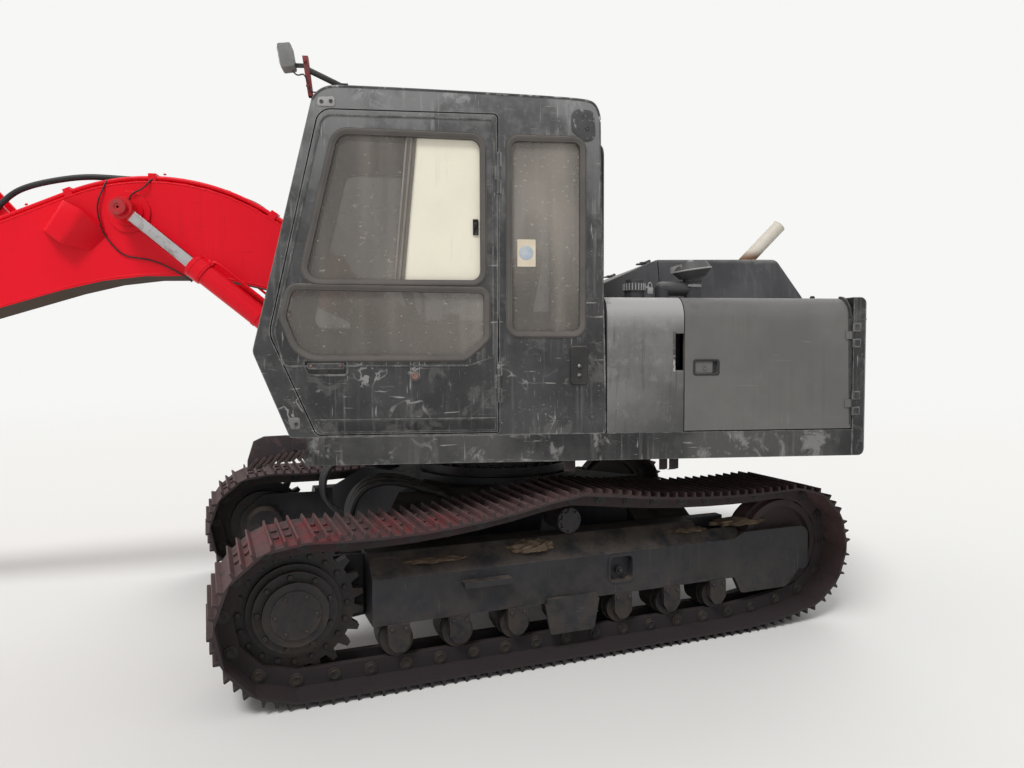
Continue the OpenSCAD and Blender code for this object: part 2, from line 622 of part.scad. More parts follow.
module front_cover() color(black) {
    hood_shell(hood_split_x + gap / 2, hood_front_x);
    for (s = [-1, 1]) block(hood_split_x + 20, hood_front_x, s > 0 ? hood_half - cover_t : -hood_half,
        s > 0 ? hood_half : cover_t - hood_half, house_top_z + run, hood_z0 + 1);
    for (y = hood_hinge_y) hinge_y(hood_hinge, y, 1);
}
exhaust_y = 420;
exhaust_x = -1493;
exhaust_tilt = 44.3;
exhaust_l = 320;
module engine_hood() color(black) {
    hood_shell(weight_x + gap, hood_split_x - gap / 2);
    for (y = hood_hinge_y) hinge_y(hood_hinge, y, -1);
}
module exhaust() color(cream) translate([exhaust_x, exhaust_y, hood_top_z + run]) difference() {
    union() {
        intersection() {
            rotate([0, -exhaust_tilt, 0]) translate([0, 0, -60]) cylinder(h = exhaust_l + 60, r = exhaust_d / 2);
            translate([-600, -100, 0]) cube([900, 200, 600]);
        }
        cylinder(h = 12, r = 85);
    }
    rotate([0, -exhaust_tilt, 0]) translate([0, 0, 60]) cylinder(h = exhaust_l, r = exhaust_d / 2 - 4);
}

// Air intake with its rain hood, on the left side cover
intake = [-985, house_half - 300];
module air_intake() color(black) translate([intake[0], intake[1], house_top_z + run]) {
    cylinder(h = 10, r = 70);
    cylinder(h = 120, r = 44);
    translate([0, 0, 100]) cylinder(h = 26, r = 52);
    translate([0, 0, 120]) rotate([0, 8, 0]) {
        cylinder(h = 40, r1 = 70, r2 = 105);
        translate([0, 0, 39.9]) cylinder(h = 42, r1 = 105, r2 = 84);
    }
    translate([0, 0, 60]) rotate([0, 90, 0]) cylinder(h = 170, r = 38);
    translate([170, 0, 0]) cylinder(h = 60, r = 38);
    translate([170, 0, 60]) sphere(r = 38);
}

// Right side: oil tank behind, fuel tank before it, tool box with the step in front
tank_in_y = lug_cap_y + gap;
module tank(x0, x1, top, r)
    along([[-tank_in_y, deck_z + run], [-tank_in_y, top, 20], [-house_half, top, r], [-house_half, deck_z + run, 15]],
        x0, x1);
oil_tank_x = [-832, -250];
fuel_tank_x = [-244, 420];
tool_box_x = [426, 940];
tool_box_z = 1560;
module oil_tank() color(black) {
    tank(oil_tank_x[0], oil_tank_x[1], house_top_z, shoulder_r);
    translate([-560, -800, house_top_z - 1]) cylinder(h = 30, r = 90);
}
module fuel_tank() color(black) {
    tank(fuel_tank_x[0], fuel_tank_x[1], house_top_z - 60, 90);
    translate([250, -900, house_top_z - 61]) {
        cylinder(h = 30, r = 55);
        translate([0, 0, 29]) cylinder(h = 34, r = 62);
    }
}
// Round tube that follows a side outline of [x, z, bend radius], with true bends and a sleeve at each bend's ends
sleeve_gap = 2;
sleeve_half = 9;
function bend_centre(a, b, c, r) = let (u = unit(flat2(a) - flat2(b)), w = unit(flat2(c) - flat2(b)),
    half = acos(u * w) / 2) flat2(b) + unit(u + w) * r / sin(half);
function bend_setback(a, b, c, r) = let (u = unit(flat2(a) - flat2(b)), w = unit(flat2(c) - flat2(b)))
    r / tan(acos(u * w) / 2);
module tube(pts, y, r) {
    n = len(pts);
    cut = [for (i = [0:n - 1]) i == 0 || i == n - 1 ? 0 : bend_setback(pts[i - 1], pts[i], pts[i + 1], pts[i][2])];
    for (i = [0:n - 2]) {
        a = flat2(pts[i]);
        b = flat2(pts[i + 1]);
        u = unit(b - a);
        from = cut[i] + (i > 0 ? sleeve_gap : 0);
        to = norm(b - a) - cut[i + 1] - (i < n - 2 ? sleeve_gap : 0);
        translate([a[0], y, a[1]]) rotate([0, 90 - atan2(u[1], u[0]), 0]) {
            translate([0, 0, from]) cylinder(h = to - from, r = r, $fn = 20);
            if (i > 0) translate([0, 0, cut[i] - sleeve_half]) cylinder(h = 2 * sleeve_half, r = r + 3, $fn = 20);
            if (i < n - 2) translate([0, 0, norm(b - a) - cut[i + 1] - sleeve_half])
                cylinder(h = 2 * sleeve_half, r = r + 3, $fn = 20);
        }
    }
    for (i = [1:n - 2]) {
        c = bend_centre(pts[i - 1], pts[i], pts[i + 1], pts[i][2]);
        a0 = atan2(pts[i][1] - c[1], pts[i][0] - c[0]);
        u = unit(flat2(pts[i - 1]) - flat2(pts[i]));
        w = unit(flat2(pts[i + 1]) - flat2(pts[i]));
        half = 90 - acos(u * w) / 2 - sleeve_gap / pts[i][2] * 180 / PI;
        translate([c[0], y, c[1]]) rotate([90, 0, 0]) rotate([0, 0, a0 - half])
            rotate_extrude(angle = 2 * half, $fn = 96) translate([pts[i][2], 0]) circle(r = r, $fn = 20);
    }
}
module rail(p, q, r) {
    d = q - p;
    translate(p) rotate([0, acos(d[2] / norm(d)), atan2(d[1], d[0])]) cylinder(h = norm(d), r = r, $fn = 20);
}
module tool_box() color(black) {
    tank(tool_box_x[0], tool_box_x[1], tool_box_z, 60);
    along([[50 - house_half, tool_box_z - 1], [50 - house_half, tool_box_z + 12], [530 - house_half, tool_box_z + 12],
        [530 - house_half, tool_box_z - 1]], tool_box_x[0] + 40, tool_box_x[1] - 30);
    // Handrail
    tube([[900, tool_box_z - 5], [900, 2010, 120], [460, 2120, 120], [460, tool_box_z - 5]], 80 - house_half, 17);
}

// Cab. The shell is one side outline carried across, hollowed, and cut where the real windows are.
cab_outline = [[cab_rear_x, deck_z, 12], [cab_front_x, deck_z, 15], [cab_bend_x, cab_bend_z, 60],
    [cab_brow_x, cab_top_z - 40, 70], [cab_brow_x - 85, cab_top_z, 40], [-370, cab_top_z - 25, 60],
    [-405, cab_top_z - 110, 40]];
door_outline = [[door_rear_x, deck_z + 14, 10], [968, deck_z + 14, 30], [1178, 1660, 110],
    [936, cab_top_z - 112, 70], [door_rear_x, cab_top_z - 112, 20]];
upper_window = [[176, sill_z, 50], [176, head_z, 50], [858, head_z + 10, 70], [1024, sill_z, 60]];
lower_window = [[160, 1862, 30], [160, 1640, 30], [262, 1547, 60], [1040, 1547, 130], [1112, 1740, 60], [1078, 1875, 40]];
quarter_window = [[36, 1662, 40], [36, head_z, 40], [-312, head_z, 40], [-312, 1662, 40]];
right_window = [[-300, 1700, 50], [-300, head_z, 50], [900, head_z, 60], [1110, 1700, 60]];
rear_window_y = [cab_right_y + 110, house_half - 110];
function rear_window(d) = [[rear_window_y[0] + d, sill_z - 10 + d, 50], [rear_window_y[1] - d, sill_z - 10 + d, 50],
    [rear_window_y[1] - d, head_z - d, 50], [rear_window_y[0] + d, head_z - d, 50]];
module outline_cut(pts, d, y0, y1) translate([0, y1, 0]) rotate([90, 0, 0]) linear_extrude(y1 - y0)
    offset(delta = d) polygon(rounded(pts));
// Brow plane of the windscreen: a line from the bend up to the brow
screen_dir = unit([cab_brow_x - cab_bend_x, cab_top_z - 40 - cab_bend_z]);
screen_in = [-screen_dir[1], screen_dir[0]];
function on_screen(s, d) = [cab_bend_x, cab_bend_z] + screen_dir * s + screen_in * d;
function screen_strip(s0, s1, d0, d1) = [on_screen(s0, d0), on_screen(s1, d0), on_screen(s1, d1), on_screen(s0, d1)];
lower_dir = unit([cab_bend_x - cab_front_x, cab_bend_z - deck_z]);
lower_in = [-lower_dir[1], lower_dir[0]];
function on_lower(s, d) = [cab_front_x, deck_z] + lower_dir * s + lower_in * d;
function lower_strip(s0, s1, d0, d1) = [on_lower(s0, d0), on_lower(s1, d0), on_lower(s1, d1), on_lower(s0, d1)];
screen_y = [cab_right_y + 65, house_half - 75];
screen_s = [90, 1130];
lower_s = [110, 340];
module cab_shell() color(worn_black) {
    shell_body();
    cab_hinges(false);
}
module shell_body() difference() {
    slab(cab_outline, cab_right_y, house_half);
    outline_cut(cab_outline, -cab_wall, cab_right_y + cab_wall, house_half - cab_wall);
    outline_cut(door_outline, gap, house_half - cab_wall - 1, house_half + 1);
    slab(quarter_window, house_half - cab_wall - 1, house_half + 1);
    // Right wall: one long window, and rear wall window
    slab(right_window, cab_right_y - 1, cab_right_y + cab_wall + 1);
    along(rear_window(0), cab_rear_x - 10, cab_rear_x + cab_wall + 45);
    slab(screen_strip(screen_s[0], screen_s[1], -20, cab_wall + 20), screen_y[0], screen_y[1]);
    slab(lower_strip(lower_s[0], lower_s[1], -20, cab_wall + 20), screen_y[0], screen_y[1]);
}

// Door with its pressed skin, cut for both windows, handle and hinge leaves
cab_hinge_r = 9;
cab_hinge_z = [1424, 2430];
module cab_hinges(moving) for (z = cab_hinge_z)
    hinge_z([door_rear_x - gap / 2, house_half + cab_hinge_r + 2, z], cab_hinge_r, 195, 16, moving, 1);
module cab_door() color(worn_black) {
    difference() {
        slab(door_outline, house_half - cab_wall, house_half);
        slab(upper_window, house_half - cab_wall - 1, house_half + 1);
        slab(lower_window, house_half - cab_wall - 1, house_half + 1);
        // Recess of the handle
        slab([[825, 1466, 12], [825, 1530, 12], [1026, 1530, 12], [1000, 1466, 12]], house_half - 18, house_half + 1);
    }
    slab([[835, 1492, 8], [835, 1520, 8], [1010, 1520, 8], [1004, 1492, 8]], house_half - 19, house_half + 6);
    pin_y([502, 1455], 22, house_half - 1, house_half + 8);
    cab_hinges(true);
}

// Panes, 0.3 mm smaller than their openings all round
pane_y = house_half - cab_wall / 2;
module pane(pts, y) outline_cut(pts, -run, y - pane_t / 2, y + pane_t / 2);
module cab_glass() color(pane_tint) {
    pane(quarter_window, pane_y);
    pane(right_window, cab_right_y + cab_wall / 2);
    along(rear_window(run), cab_rear_x + 30, cab_rear_x + 30 + pane_t);
    slab(screen_strip(screen_s[0] + run, screen_s[1] - run, 15, 15 + pane_t), screen_y[0] + run, screen_y[1] - run);
    slab(lower_strip(lower_s[0] + run, lower_s[1] - run, 15, 15 + pane_t), screen_y[0] + run, screen_y[1] - run);
}
// The panel covers the rear half of the upper window. Its front edge leans forward and down, and laps the pane.
split_x = [568, 502];
split_lap = 20;
module ahead_of_split(d) slab([[split_x[0] + d, sill_z], [split_x[1] + d, head_z + 10], [cab_bend_x, head_z + 10],
    [cab_bend_x, sill_z]], cab_right_y, house_half);
module door_glass() color(pane_tint) {
    pane(lower_window, pane_y);
    intersection() {
        pane(upper_window, pane_y + 4);
        ahead_of_split(-split_lap);
    }
}
module door_blank_panel() color(cream) difference() {
    pane(upper_window, pane_y - 4);
    ahead_of_split(0);
}

// Driver's seat on its box, with headrest
seat_y = (cab_right_y + house_half) / 2;
console_half = 55;
console_y = (house_half - cab_right_y) / 2 - console_half - 70;
seat_gap = 15;
seat_half = console_y - console_half - seat_gap;
module seat() color([0.12, 0.12, 0.13]) {
    block(60, 480, seat_y - seat_half + 40, seat_y + seat_half - 40, deck_z + cab_wall + run, 1450);
    slab([[40, 1450, 20], [40, 1570, 30], [540, 1590, 45], [560, 1480, 30], [520, 1449, 10]], seat_y - seat_half, seat_y + seat_half);
    slab([[-60, 1540, 30], [-170, 2120, 40], [-60, 2150, 40], [80, 1560, 30]],
        seat_y - seat_half + 20, seat_y + seat_half - 20);
    slab([[-150, 2120, 20], [-185, 2330, 40], [-95, 2340, 40], [-70, 2130, 20]], seat_y - 130, seat_y + 130);
}
// Side consoles with their levers, and the travel levers on the floor
module consoles() color(black) {
    for (s = [-1, 1]) {
        y = seat_y + s * console_y;
        slab([[-100, 1430, 30], [-100, 1650, 30], [560, 1720, 50], [600, 1620, 40], [480, 1430, 30]],
            y - console_half, y + console_half);
        block(120, 320, y - 50, y + 50, deck_z + cab_wall + run, 1440);
        translate([500, y, 1690]) rotate([0, 12, 0]) {
            cylinder(h = 110, r = 12);
            translate([0, 0, 90]) cylinder(h = 130, r1 = 22, r2 = 30);
        }
    }
    for (s = [-1, 1]) {
        translate([880, seat_y + s * 70, deck_z + cab_wall + 6]) rotate([0, -6, 0]) {
            cylinder(h = 640, r = 11);
            translate([0, 0, 600]) sphere(r = 26);
        }
    }
    block(800, 960, seat_y - 160, seat_y + 160, deck_z + cab_wall + run, deck_z + cab_wall + 50);
}

// Work lamp on a strap before the roof's front corner, held by a tube from the roof
lamp_y = house_half - 130;
lamp_foot_x = [812, 848];
module roof_lamp() color(dark_steel) translate([0, lamp_y, cab_top_z]) {
    slab([[980, -18], [1002, 172], [1026, 172], [1000, -18]], -14, 14);
    rail([1003, 0, 112], [830, 0, 32], 14);
    block(lamp_foot_x[0], lamp_foot_x[1], -24, 24, run, 46);
    block(1010, 1080, -9, 9, 122, 138);
    slab([[1062, 116, 8], [1078, 222, 8], [1140, 216, 8], [1120, 106, 8]], -44, 44);
}

// Boom: curved box of four plates. Foot, tip and cylinder bosses are round.
boom_top_corner = [1908, 2740];
boom_under_corner = [1571, 2240];
boom_top_r = 1220;
boom_outline = [[boom_foot_x - 80, boom_foot_z - 60, 40], [boom_foot_x - 108, boom_foot_z + 107, 60],
    [boom_top_corner[0], boom_top_corner[1], boom_top_r], [boom_tip_x + 20, boom_tip_z + 128, 60],
    [boom_tip_x - 30, boom_tip_z - 130, 60], [boom_under_corner[0], boom_under_corner[1], 2100],
    [boom_foot_x + 60, boom_foot_z - 112, 60]];
arm_half = 120;
eye_boss_y = boom_half + 22;
module boom() color(red) difference() {
    union() {
        difference() {
            slab(boom_outline, -boom_half, boom_half);
            // Closed hollow of the box
            intersection() {
                outline_cut(boom_outline, -plate_t, plate_t - boom_half, boom_half - plate_t);
                block(boom_foot_x + 330, boom_tip_x - 700, -boom_half, boom_half, 1000, 3000);
            }
            // Fork for the arm's heel
            block(boom_tip_x - 480, boom_tip_x + 400, -arm_half - gap, arm_half + gap, 1000, 3000);
        }
        pin_y(boom_foot, 130, -boom_half, boom_half);
        both_sides() {
            pin_y(boom_tip, 135, arm_half + gap, boom_half + 12);
            pin_y(boom_eye, 120, boom_half - 1, boom_half + 12);
            pin_y(boom_eye, 82, boom_half - 1, eye_boss_y);
        }
        // Ears for the arm cylinder's foot
        both_sides() slab([[arm_cyl[0] - 260, arm_cyl[1] - 190], [arm_cyl[0] - 60, arm_cyl[1] + 40, 60],
            [arm_cyl[0] + 60, arm_cyl[1] + 60, 60], [arm_cyl[0] + 290, arm_cyl[1] - 430]],
            arm_ear_y, arm_ear_y + plate_t);
    }
    pin_y(boom_foot, 45 + run, -boom_half - 1, boom_half + 1);
    pin_y(boom_tip, pin_r + 5 + run, -boom_half - 20, boom_half + 20);
    pin_y(arm_cyl, pin_r - 3 + run, -arm_ear_y - plate_t - 1, arm_ear_y + plate_t + 1);
}

// Steel pipes and the hose that run on top of the boom, in clamps
boom_top_arc_c = bend_centre(boom_outline[1], boom_outline[2], boom_outline[3], boom_top_r);
pipe_r = 13;
pipe_y = [boom_half - 19, boom_half - 51];
pipe_lift = 18;
// Pipe line: the boom's top outline, moved out by the pipe's lift
rear_slope = unit(flat2(boom_outline[1]) - flat2(boom_outline[2]));
fore_slope = unit(flat2(boom_outline[3]) - flat2(boom_outline[2]));
pipe_setback = (boom_top_r + pipe_lift) * tan(90 - acos(rear_slope * fore_slope) / 2);
pipe_corner = boom_top_arc_c + unit(rear_slope + fore_slope) * -(boom_top_r + pipe_lift)
    / sin(acos(rear_slope * fore_slope) / 2);
pipe_rear_l = 520;
pipe_fore_l = 1330;
pipe_line = [pipe_corner + rear_slope * (pipe_setback + pipe_rear_l),
    [pipe_corner[0], pipe_corner[1], boom_top_r + pipe_lift], pipe_corner + fore_slope * (pipe_setback + pipe_fore_l)];
function rear_at(d) = pipe_corner + rear_slope * (pipe_setback + d);
function fore_at(d) = pipe_corner + fore_slope * (pipe_setback + d);
module pipe_clamp(p, a) translate([p[0], 0, p[1]]) rotate([0, 90 - a, 0])
    block(-22, 22, pipe_y[1] - pipe_r - 5, pipe_y[0] + pipe_r + 4, run - pipe_lift, pipe_r + 12);
module boom_lines() color(red) both_sides() {
    for (y = pipe_y) tube(pipe_line, y, pipe_r);
    a_rear = atan2(rear_slope[1], rear_slope[0]) - 90;
    a_fore = atan2(fore_slope[1], fore_slope[0]) + 90;
    for (d = [0, pipe_rear_l - 40]) pipe_clamp(rear_at(d), a_rear);
    for (d = [0, 0.5, 1]) pipe_clamp(fore_at(d * (pipe_fore_l - 40)), a_fore);
    pipe_clamp(polar(boom_top_arc_c, boom_top_r + pipe_lift, 90), 90);
}

// Cylinders lie on the line between their two pins. d is measured along that line from the foot pin.
module on_line(foot, eye, y) {
    d = eye - foot;
    translate([foot[0], y, foot[1]]) rotate([0, -atan2(d[1], d[0]), 0]) children();
}
module tube_x(x0, x1, r) translate([x0, 0, 0]) rotate([0, 90, 0]) cylinder(h = x1 - x0, r = r);
module eye_ring(r, bore, half) rotate([90, 0, 0]) difference() {
    cylinder(h = 2 * half, r = r, center = true);
    cylinder(h = 2 * half + 2, r = bore, center = true);
}
// Barrel with foot eye, gland and bore
barrel_start = 14;
module barrel(l, r, rod, foot_r, bore, half) {
    difference() {
        union() {
            tube_x(foot_r / 2, foot_r + barrel_start + 1, r / 2);
            tube_x(foot_r + barrel_start, l, r);
            tube_x(l - 90, l, r + 8);
            rotate([90, 0, 0]) cylinder(h = 2 * half, r = foot_r, center = true);
        }
        tube_x(foot_r + barrel_start + 25, l - 60, r - 12);
        tube_x(foot_r + barrel_start + 20, l + 1, rod + run);
        rotate([90, 0, 0]) cylinder(h = 2 * half + 2, r = bore, center = true);
    }
}
// Rod with piston and eye. The eye's pin stub is as long as the eye is wide.
module rod(l, stroke_in, r, piston_r, eye_r, half) {
    tube_x(stroke_in, l - eye_r + 10, r);
    tube_x(stroke_in, stroke_in + 70, piston_r);
    translate([l, 0, 0]) rotate([90, 0, 0]) cylinder(h = 2 * half, r = eye_r, center = true);
}
boom_cyl_l = norm(boom_eye - boom_cyl);
boom_barrel_l = 1280;
rod_eye_half = 42;
module boom_barrels() color(red) for (s = [-1, 1])
    on_line(boom_cyl, boom_eye, s * boom_cyl_y) barrel(boom_barrel_l, barrel_r, rod_r, cyl_foot_r, pin_r + run, cyl_foot_half);
module boom_rods() color(chrome) for (s = [-1, 1])
    on_line(boom_cyl, boom_eye, s * boom_cyl_y) {
        rod(boom_cyl_l, 640, rod_r, barrel_r - 12 - run, 66, rod_eye_half);
        translate([boom_cyl_l, s * (rod_eye_half - 1), 0]) rotate([-90 * s, 0, 0]) cylinder(h = 29, r = 44);
        translate([boom_cyl_l, -s * (boom_cyl_y - eye_boss_y - 1), 0]) rotate([-90 * s, 0, 0])
            cylinder(h = boom_cyl_y - eye_boss_y - rod_eye_half, r = 48);
    }

// Arm, in its own frame: u along from the boom pin to the bucket pin, v up and square to it
module arm_frame() translate([boom_tip[0], 0, boom_tip[1]]) rotate([0, arm_droop, 0]) children();
function arm_to_world(p) = boom_tip + turned(p, -arm_droop);
arm_eye = [-470, 222];
bucket_foot = [200, 430];
lever_pin = [arm_l - link_l, 0];
arm_cyl = [3100, 2540];
arm_cyl_half = barrel_r;
arm_ear_y = arm_cyl_half + gap;
arm_outline = [[-150, -60, 60], [arm_eye[0] - 70, arm_eye[1] - 40, 50], [arm_eye[0] - 20, arm_eye[1] + 75, 50],
    [140, 500, 60], [280, 490, 60], [600, 95, 240], [arm_l - 60, 66, 30], [arm_l + 60, 64, 60],
    [arm_l + 55, -75, 60], [arm_l - 250, -125, 200], [400, -190, 300], [60, -135, 80]];
web_t = 20;
module arm() color(red) arm_frame() {
    difference() {
        union() {
            both_sides() slab(arm_outline, arm_half - web_t, arm_half);
            // Cover plates and closed nose of the box
            intersection() {
                difference() {
                    slab(arm_outline, -arm_half + web_t - 1, arm_half - web_t + 1);
                    intersection() {
                        outline_cut(arm_outline, -web_t, -arm_half, arm_half);
                        block(0, arm_l - 520, -arm_half, arm_half, -300, 700);
                    }
                }
                union() {
                    block(440, arm_l + 100, -arm_half, arm_half, -300, 700);
                    block(-100, 441, -arm_half, arm_half, -300, -105);
                }
            }
            pin_y([0, 0], 110, -arm_half, arm_half);
            pin_y([arm_l, 0], 78, -arm_half - 20, arm_half + 20);
            both_sides() {
                pin_y(arm_eye, 62, arm_half - web_t, arm_half + 4);
                pin_y(bucket_foot, 55, arm_half - web_t - 40, arm_half + 4);
            }
        }
        pin_y([0, 0], pin_r + 5 + run, -arm_half - 1, arm_half + 1);
        pin_y([arm_l, 0], pin_r + run, -200, 200);
        pin_y(lever_pin, pin_r + run, -200, 200);
        pin_y(bucket_foot, pin_r - 3 + run, -200, 200);
    }
    pin_y([0, 0], pin_r + 5, -boom_half - 16, boom_half + 16);
    both_sides() pin_y([0, 0], 60, boom_half + 12 + run, boom_half + 28);
    pin_y(bucket_foot, pin_r - 3, -arm_half - 3, arm_half + 3);
    pin_y(lever_pin, pin_r, -arm_half - 36, arm_half + 36);
}
arm_eye_w = arm_to_world(arm_eye);
arm_cyl_l = norm(arm_eye_w - arm_cyl);
arm_barrel_l = 1300;
module arm_barrel() color(red) {
    on_line(arm_cyl, arm_eye_w, 0) barrel(arm_barrel_l, barrel_r, rod_r, 62, pin_r - 3, arm_cyl_half);
    pin_y(arm_cyl, pin_r - 3, -arm_ear_y - plate_t, arm_ear_y + plate_t);
}
module arm_rod() color(chrome) on_line(arm_cyl, arm_eye_w, 0) {
    rod(arm_cyl_l, 210, rod_r, barrel_r - 12 - run, 58, 45);
    translate([arm_cyl_l, 0, 0]) rotate([90, 0, 0]) cylinder(h = 190, r = 32, center = true);
}

// Bucket linkage: levers and link have equal lengths to the arm's and the bucket's pin distances
lever_rise = 133;
lever_tip = lever_pin + [lever_l * cos(lever_rise), lever_l * sin(lever_rise)];
bucket_pin = [arm_l, 0];
link_pin = bucket_pin + [lever_l * cos(lever_rise), lever_l * sin(lever_rise)];
bucket_cyl_l = norm(lever_tip - bucket_foot);
bucket_barrel_l = 1000;
module bucket_barrel() color(red) arm_frame()
    on_line(bucket_foot, lever_tip, 0) barrel(bucket_barrel_l, barrel_r - 6, rod_r - 5, 56, pin_r - 3 + run, 50);
module bucket_rod() color(chrome) arm_frame()
    on_line(bucket_foot, lever_tip, 0) rod(bucket_cyl_l, 215, rod_r - 5, barrel_r - 18 - run, 54, 42);
lever_y = arm_half + 8;
module bone(p, q, r, t0, t1) {
    d = unit(q - p);
    n = [-d[1], d[0]];
    w = r * 0.72;
    slab([p + n * w, q + n * w, q - n * w, p - n * w], t0, t1);
    pin_y(p, r, t0, t1);
    pin_y(q, r, t0, t1);
}
module levers() color(red) arm_frame() both_sides() {
    difference() {
        bone(lever_pin, lever_tip, 62, lever_y, lever_y + 26);
        pin_y(lever_pin, pin_r + run, lever_y - 1, lever_y + 30);
    }
    pin_y(lever_tip, pin_r, 66, lever_y + 36);
}
link_r = 54;
module bucket_link() color(red) arm_frame() difference() {
    union() {
        both_sides() bone(lever_tip, link_pin, link_r, 72, 112);
        slab([[link_pin[0] - 170, link_pin[1] - 35], [link_pin[0] - 170, link_pin[1] + 35],
            [link_pin[0] - 90, link_pin[1] + 35], [link_pin[0] - 90, link_pin[1] - 35]], -73, 73);
        pin_y(link_pin, link_r, -73, 73);
    }
    pin_y(lever_tip, pin_r + run, -200, 200);
    pin_y(link_pin, pin_r + run, -200, 200);
}

// Bucket, in its own frame: p along from the bucket pin to the teeth, q up over the shell's back
bucket_open = 130;
bucket_tip_r = 1080;
bucket_set = -arm_droop + lever_rise - bucket_open;
bucket_pin_w = arm_to_world(bucket_pin);
module bucket_frame() translate([bucket_pin_w[0], 0, bucket_pin_w[1]]) rotate([0, -bucket_set, 0]) children();
bucket_link_pin = [lever_l * cos(bucket_open), lever_l * sin(bucket_open)];
bucket_outline = [[120, 70, 40], [-60, 300, 60], [20, 640, 240], [480, 780, 330], [770, 345, 200], [985, 70]];
// The hollow runs on past the mouth, so that the bucket is open there
function beyond(a, b, d) = flat2(b) + unit(flat2(b) - flat2(a)) * d;
bucket_hollow = concat([beyond(bucket_outline[1], bucket_outline[0], 130)], [for (i = [1:4]) bucket_outline[i]],
    [beyond(bucket_outline[4], bucket_outline[5], 130)]);
lip = flat2(bucket_outline[5]);
lip_dir = unit(lip - flat2(bucket_outline[4]));
lip_in = [lip_dir[1], -lip_dir[0]];
function on_lip(s, d) = lip + lip_dir * s + lip_in * d;
ear_y = arm_half + 30;
ear_t = 34;
module bucket() color(dark_steel) bucket_frame() {
    bucket_body();
    for (p = [[0, 0], bucket_link_pin]) {
        pin_y(p, pin_r, -ear_y - ear_t - 20, ear_y + ear_t + 20);
        both_sides() pin_y(p, 54, ear_y + ear_t + 6 + run, ear_y + ear_t + 22);
    }
}
module bucket_body() difference() {
    union() {
        difference() {
            slab(bucket_outline, -bucket_w / 2, bucket_w / 2);
            outline_cut(bucket_hollow, -bucket_t, bucket_t - bucket_w / 2, bucket_w / 2 - bucket_t);
        }
        // Ears with both pin bosses
        both_sides() {
            slab([[60, -70, 50], [-80, -40, 60], [bucket_link_pin[0] - 75, bucket_link_pin[1] - 30, 60],
                [bucket_link_pin[0] + 10, bucket_link_pin[1] + 90, 60], [60, 440, 20], [210, 120, 20]], ear_y, ear_y + ear_t);
            pin_y([0, 0], 78, ear_y - 6, ear_y + ear_t + 6);
            pin_y(bucket_link_pin, 70, ear_y - 6, ear_y + ear_t + 6);
        }
        // Cutting edge, side cutters and teeth
        slab([on_lip(-190, 0), on_lip(40, 0), on_lip(15, 28), on_lip(-180, 28)], -bucket_w / 2 - 8, bucket_w / 2 + 8);
        for (i = [0:bucket_teeth - 1]) {
            y = (i - (bucket_teeth - 1) / 2) * (bucket_w - 90) / (bucket_teeth - 1);
            slab([[bucket_tip_r, -14, 4], on_lip(-30, -16), on_lip(-110, -12), on_lip(-110, 42), on_lip(-20, 46)], y - 34, y + 34);
        }
    }
    pin_y([0, 0], pin_r + run, -bucket_w, bucket_w);
    pin_y(bucket_link_pin, pin_r + run, -bucket_w, bucket_w);
}

carbody();
slew_ring();
track_frame_left();
track_frame_right();
track_left();
track_right();
sprocket_left();
sprocket_right();
idler_left();
idler_right();
rollers_left();
rollers_right();
revolving_frame();
deck_left();
deck_right();
counterweight();
engine_block();
left_panel();
front_cover();
side_covers();
engine_hood();
exhaust();
air_intake();
left_engine_door();
right_engine_door();
oil_tank();
fuel_tank();
tool_box();
cab_shell();
cab_door();
cab_glass();
door_glass();
door_blank_panel();
seat();
consoles();
roof_lamp();
boom();
boom_lines();
boom_barrels();
boom_rods();
arm();
arm_barrel();
arm_rod();
bucket_barrel();
bucket_rod();
levers();
bucket_link();
bucket();
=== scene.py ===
import math

import bmesh
import bpy
from mathutils import Matrix, Vector


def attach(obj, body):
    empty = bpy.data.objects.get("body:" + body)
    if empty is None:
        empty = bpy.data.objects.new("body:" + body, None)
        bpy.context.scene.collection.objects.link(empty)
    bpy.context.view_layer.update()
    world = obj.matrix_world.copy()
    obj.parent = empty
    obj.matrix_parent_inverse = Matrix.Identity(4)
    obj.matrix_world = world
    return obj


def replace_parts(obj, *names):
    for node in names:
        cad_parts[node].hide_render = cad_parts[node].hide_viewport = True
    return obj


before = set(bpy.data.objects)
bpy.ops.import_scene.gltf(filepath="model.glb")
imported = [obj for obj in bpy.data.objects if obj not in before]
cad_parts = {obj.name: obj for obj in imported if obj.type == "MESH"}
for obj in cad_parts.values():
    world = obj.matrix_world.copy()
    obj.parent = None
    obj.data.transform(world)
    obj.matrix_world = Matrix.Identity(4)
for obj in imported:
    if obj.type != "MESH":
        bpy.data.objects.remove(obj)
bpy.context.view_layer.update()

# Camera: it stands 4.9 m to the machine's left, at the height of the side panels, and looks a little up and a little
# towards the front. The lens is what the straight edges of the house gave.
camera_place = Vector((0.459, 4.944, 1.585))
yaw, pitch, roll = [math.radians(a) for a in (-6.561, -2.631, -0.165)]
photo_width_px = 1024
lens_px = 765.5
sensor = 36
level = Vector((math.sin(yaw), -math.cos(yaw), 0))
across = Vector((-math.cos(yaw), -math.sin(yaw), 0))
ahead = math.cos(pitch) * level + math.sin(pitch) * Vector((0, 0, 1))
upward = -math.sin(pitch) * level + math.cos(pitch) * Vector((0, 0, 1))
right = math.cos(roll) * across + math.sin(roll) * upward
top = -math.sin(roll) * across + math.cos(roll) * upward
camera = bpy.data.objects.new("camera", bpy.data.cameras.new("camera"))
bpy.context.collection.objects.link(camera)
camera.matrix_world = Matrix.Translation(camera_place) @ Matrix((right, top, -ahead)).transposed().to_4x4()
camera.data.lens = lens_px / photo_width_px * sensor
camera.data.sensor_width = sensor
camera.data.clip_end = 400
bpy.context.scene.camera = camera

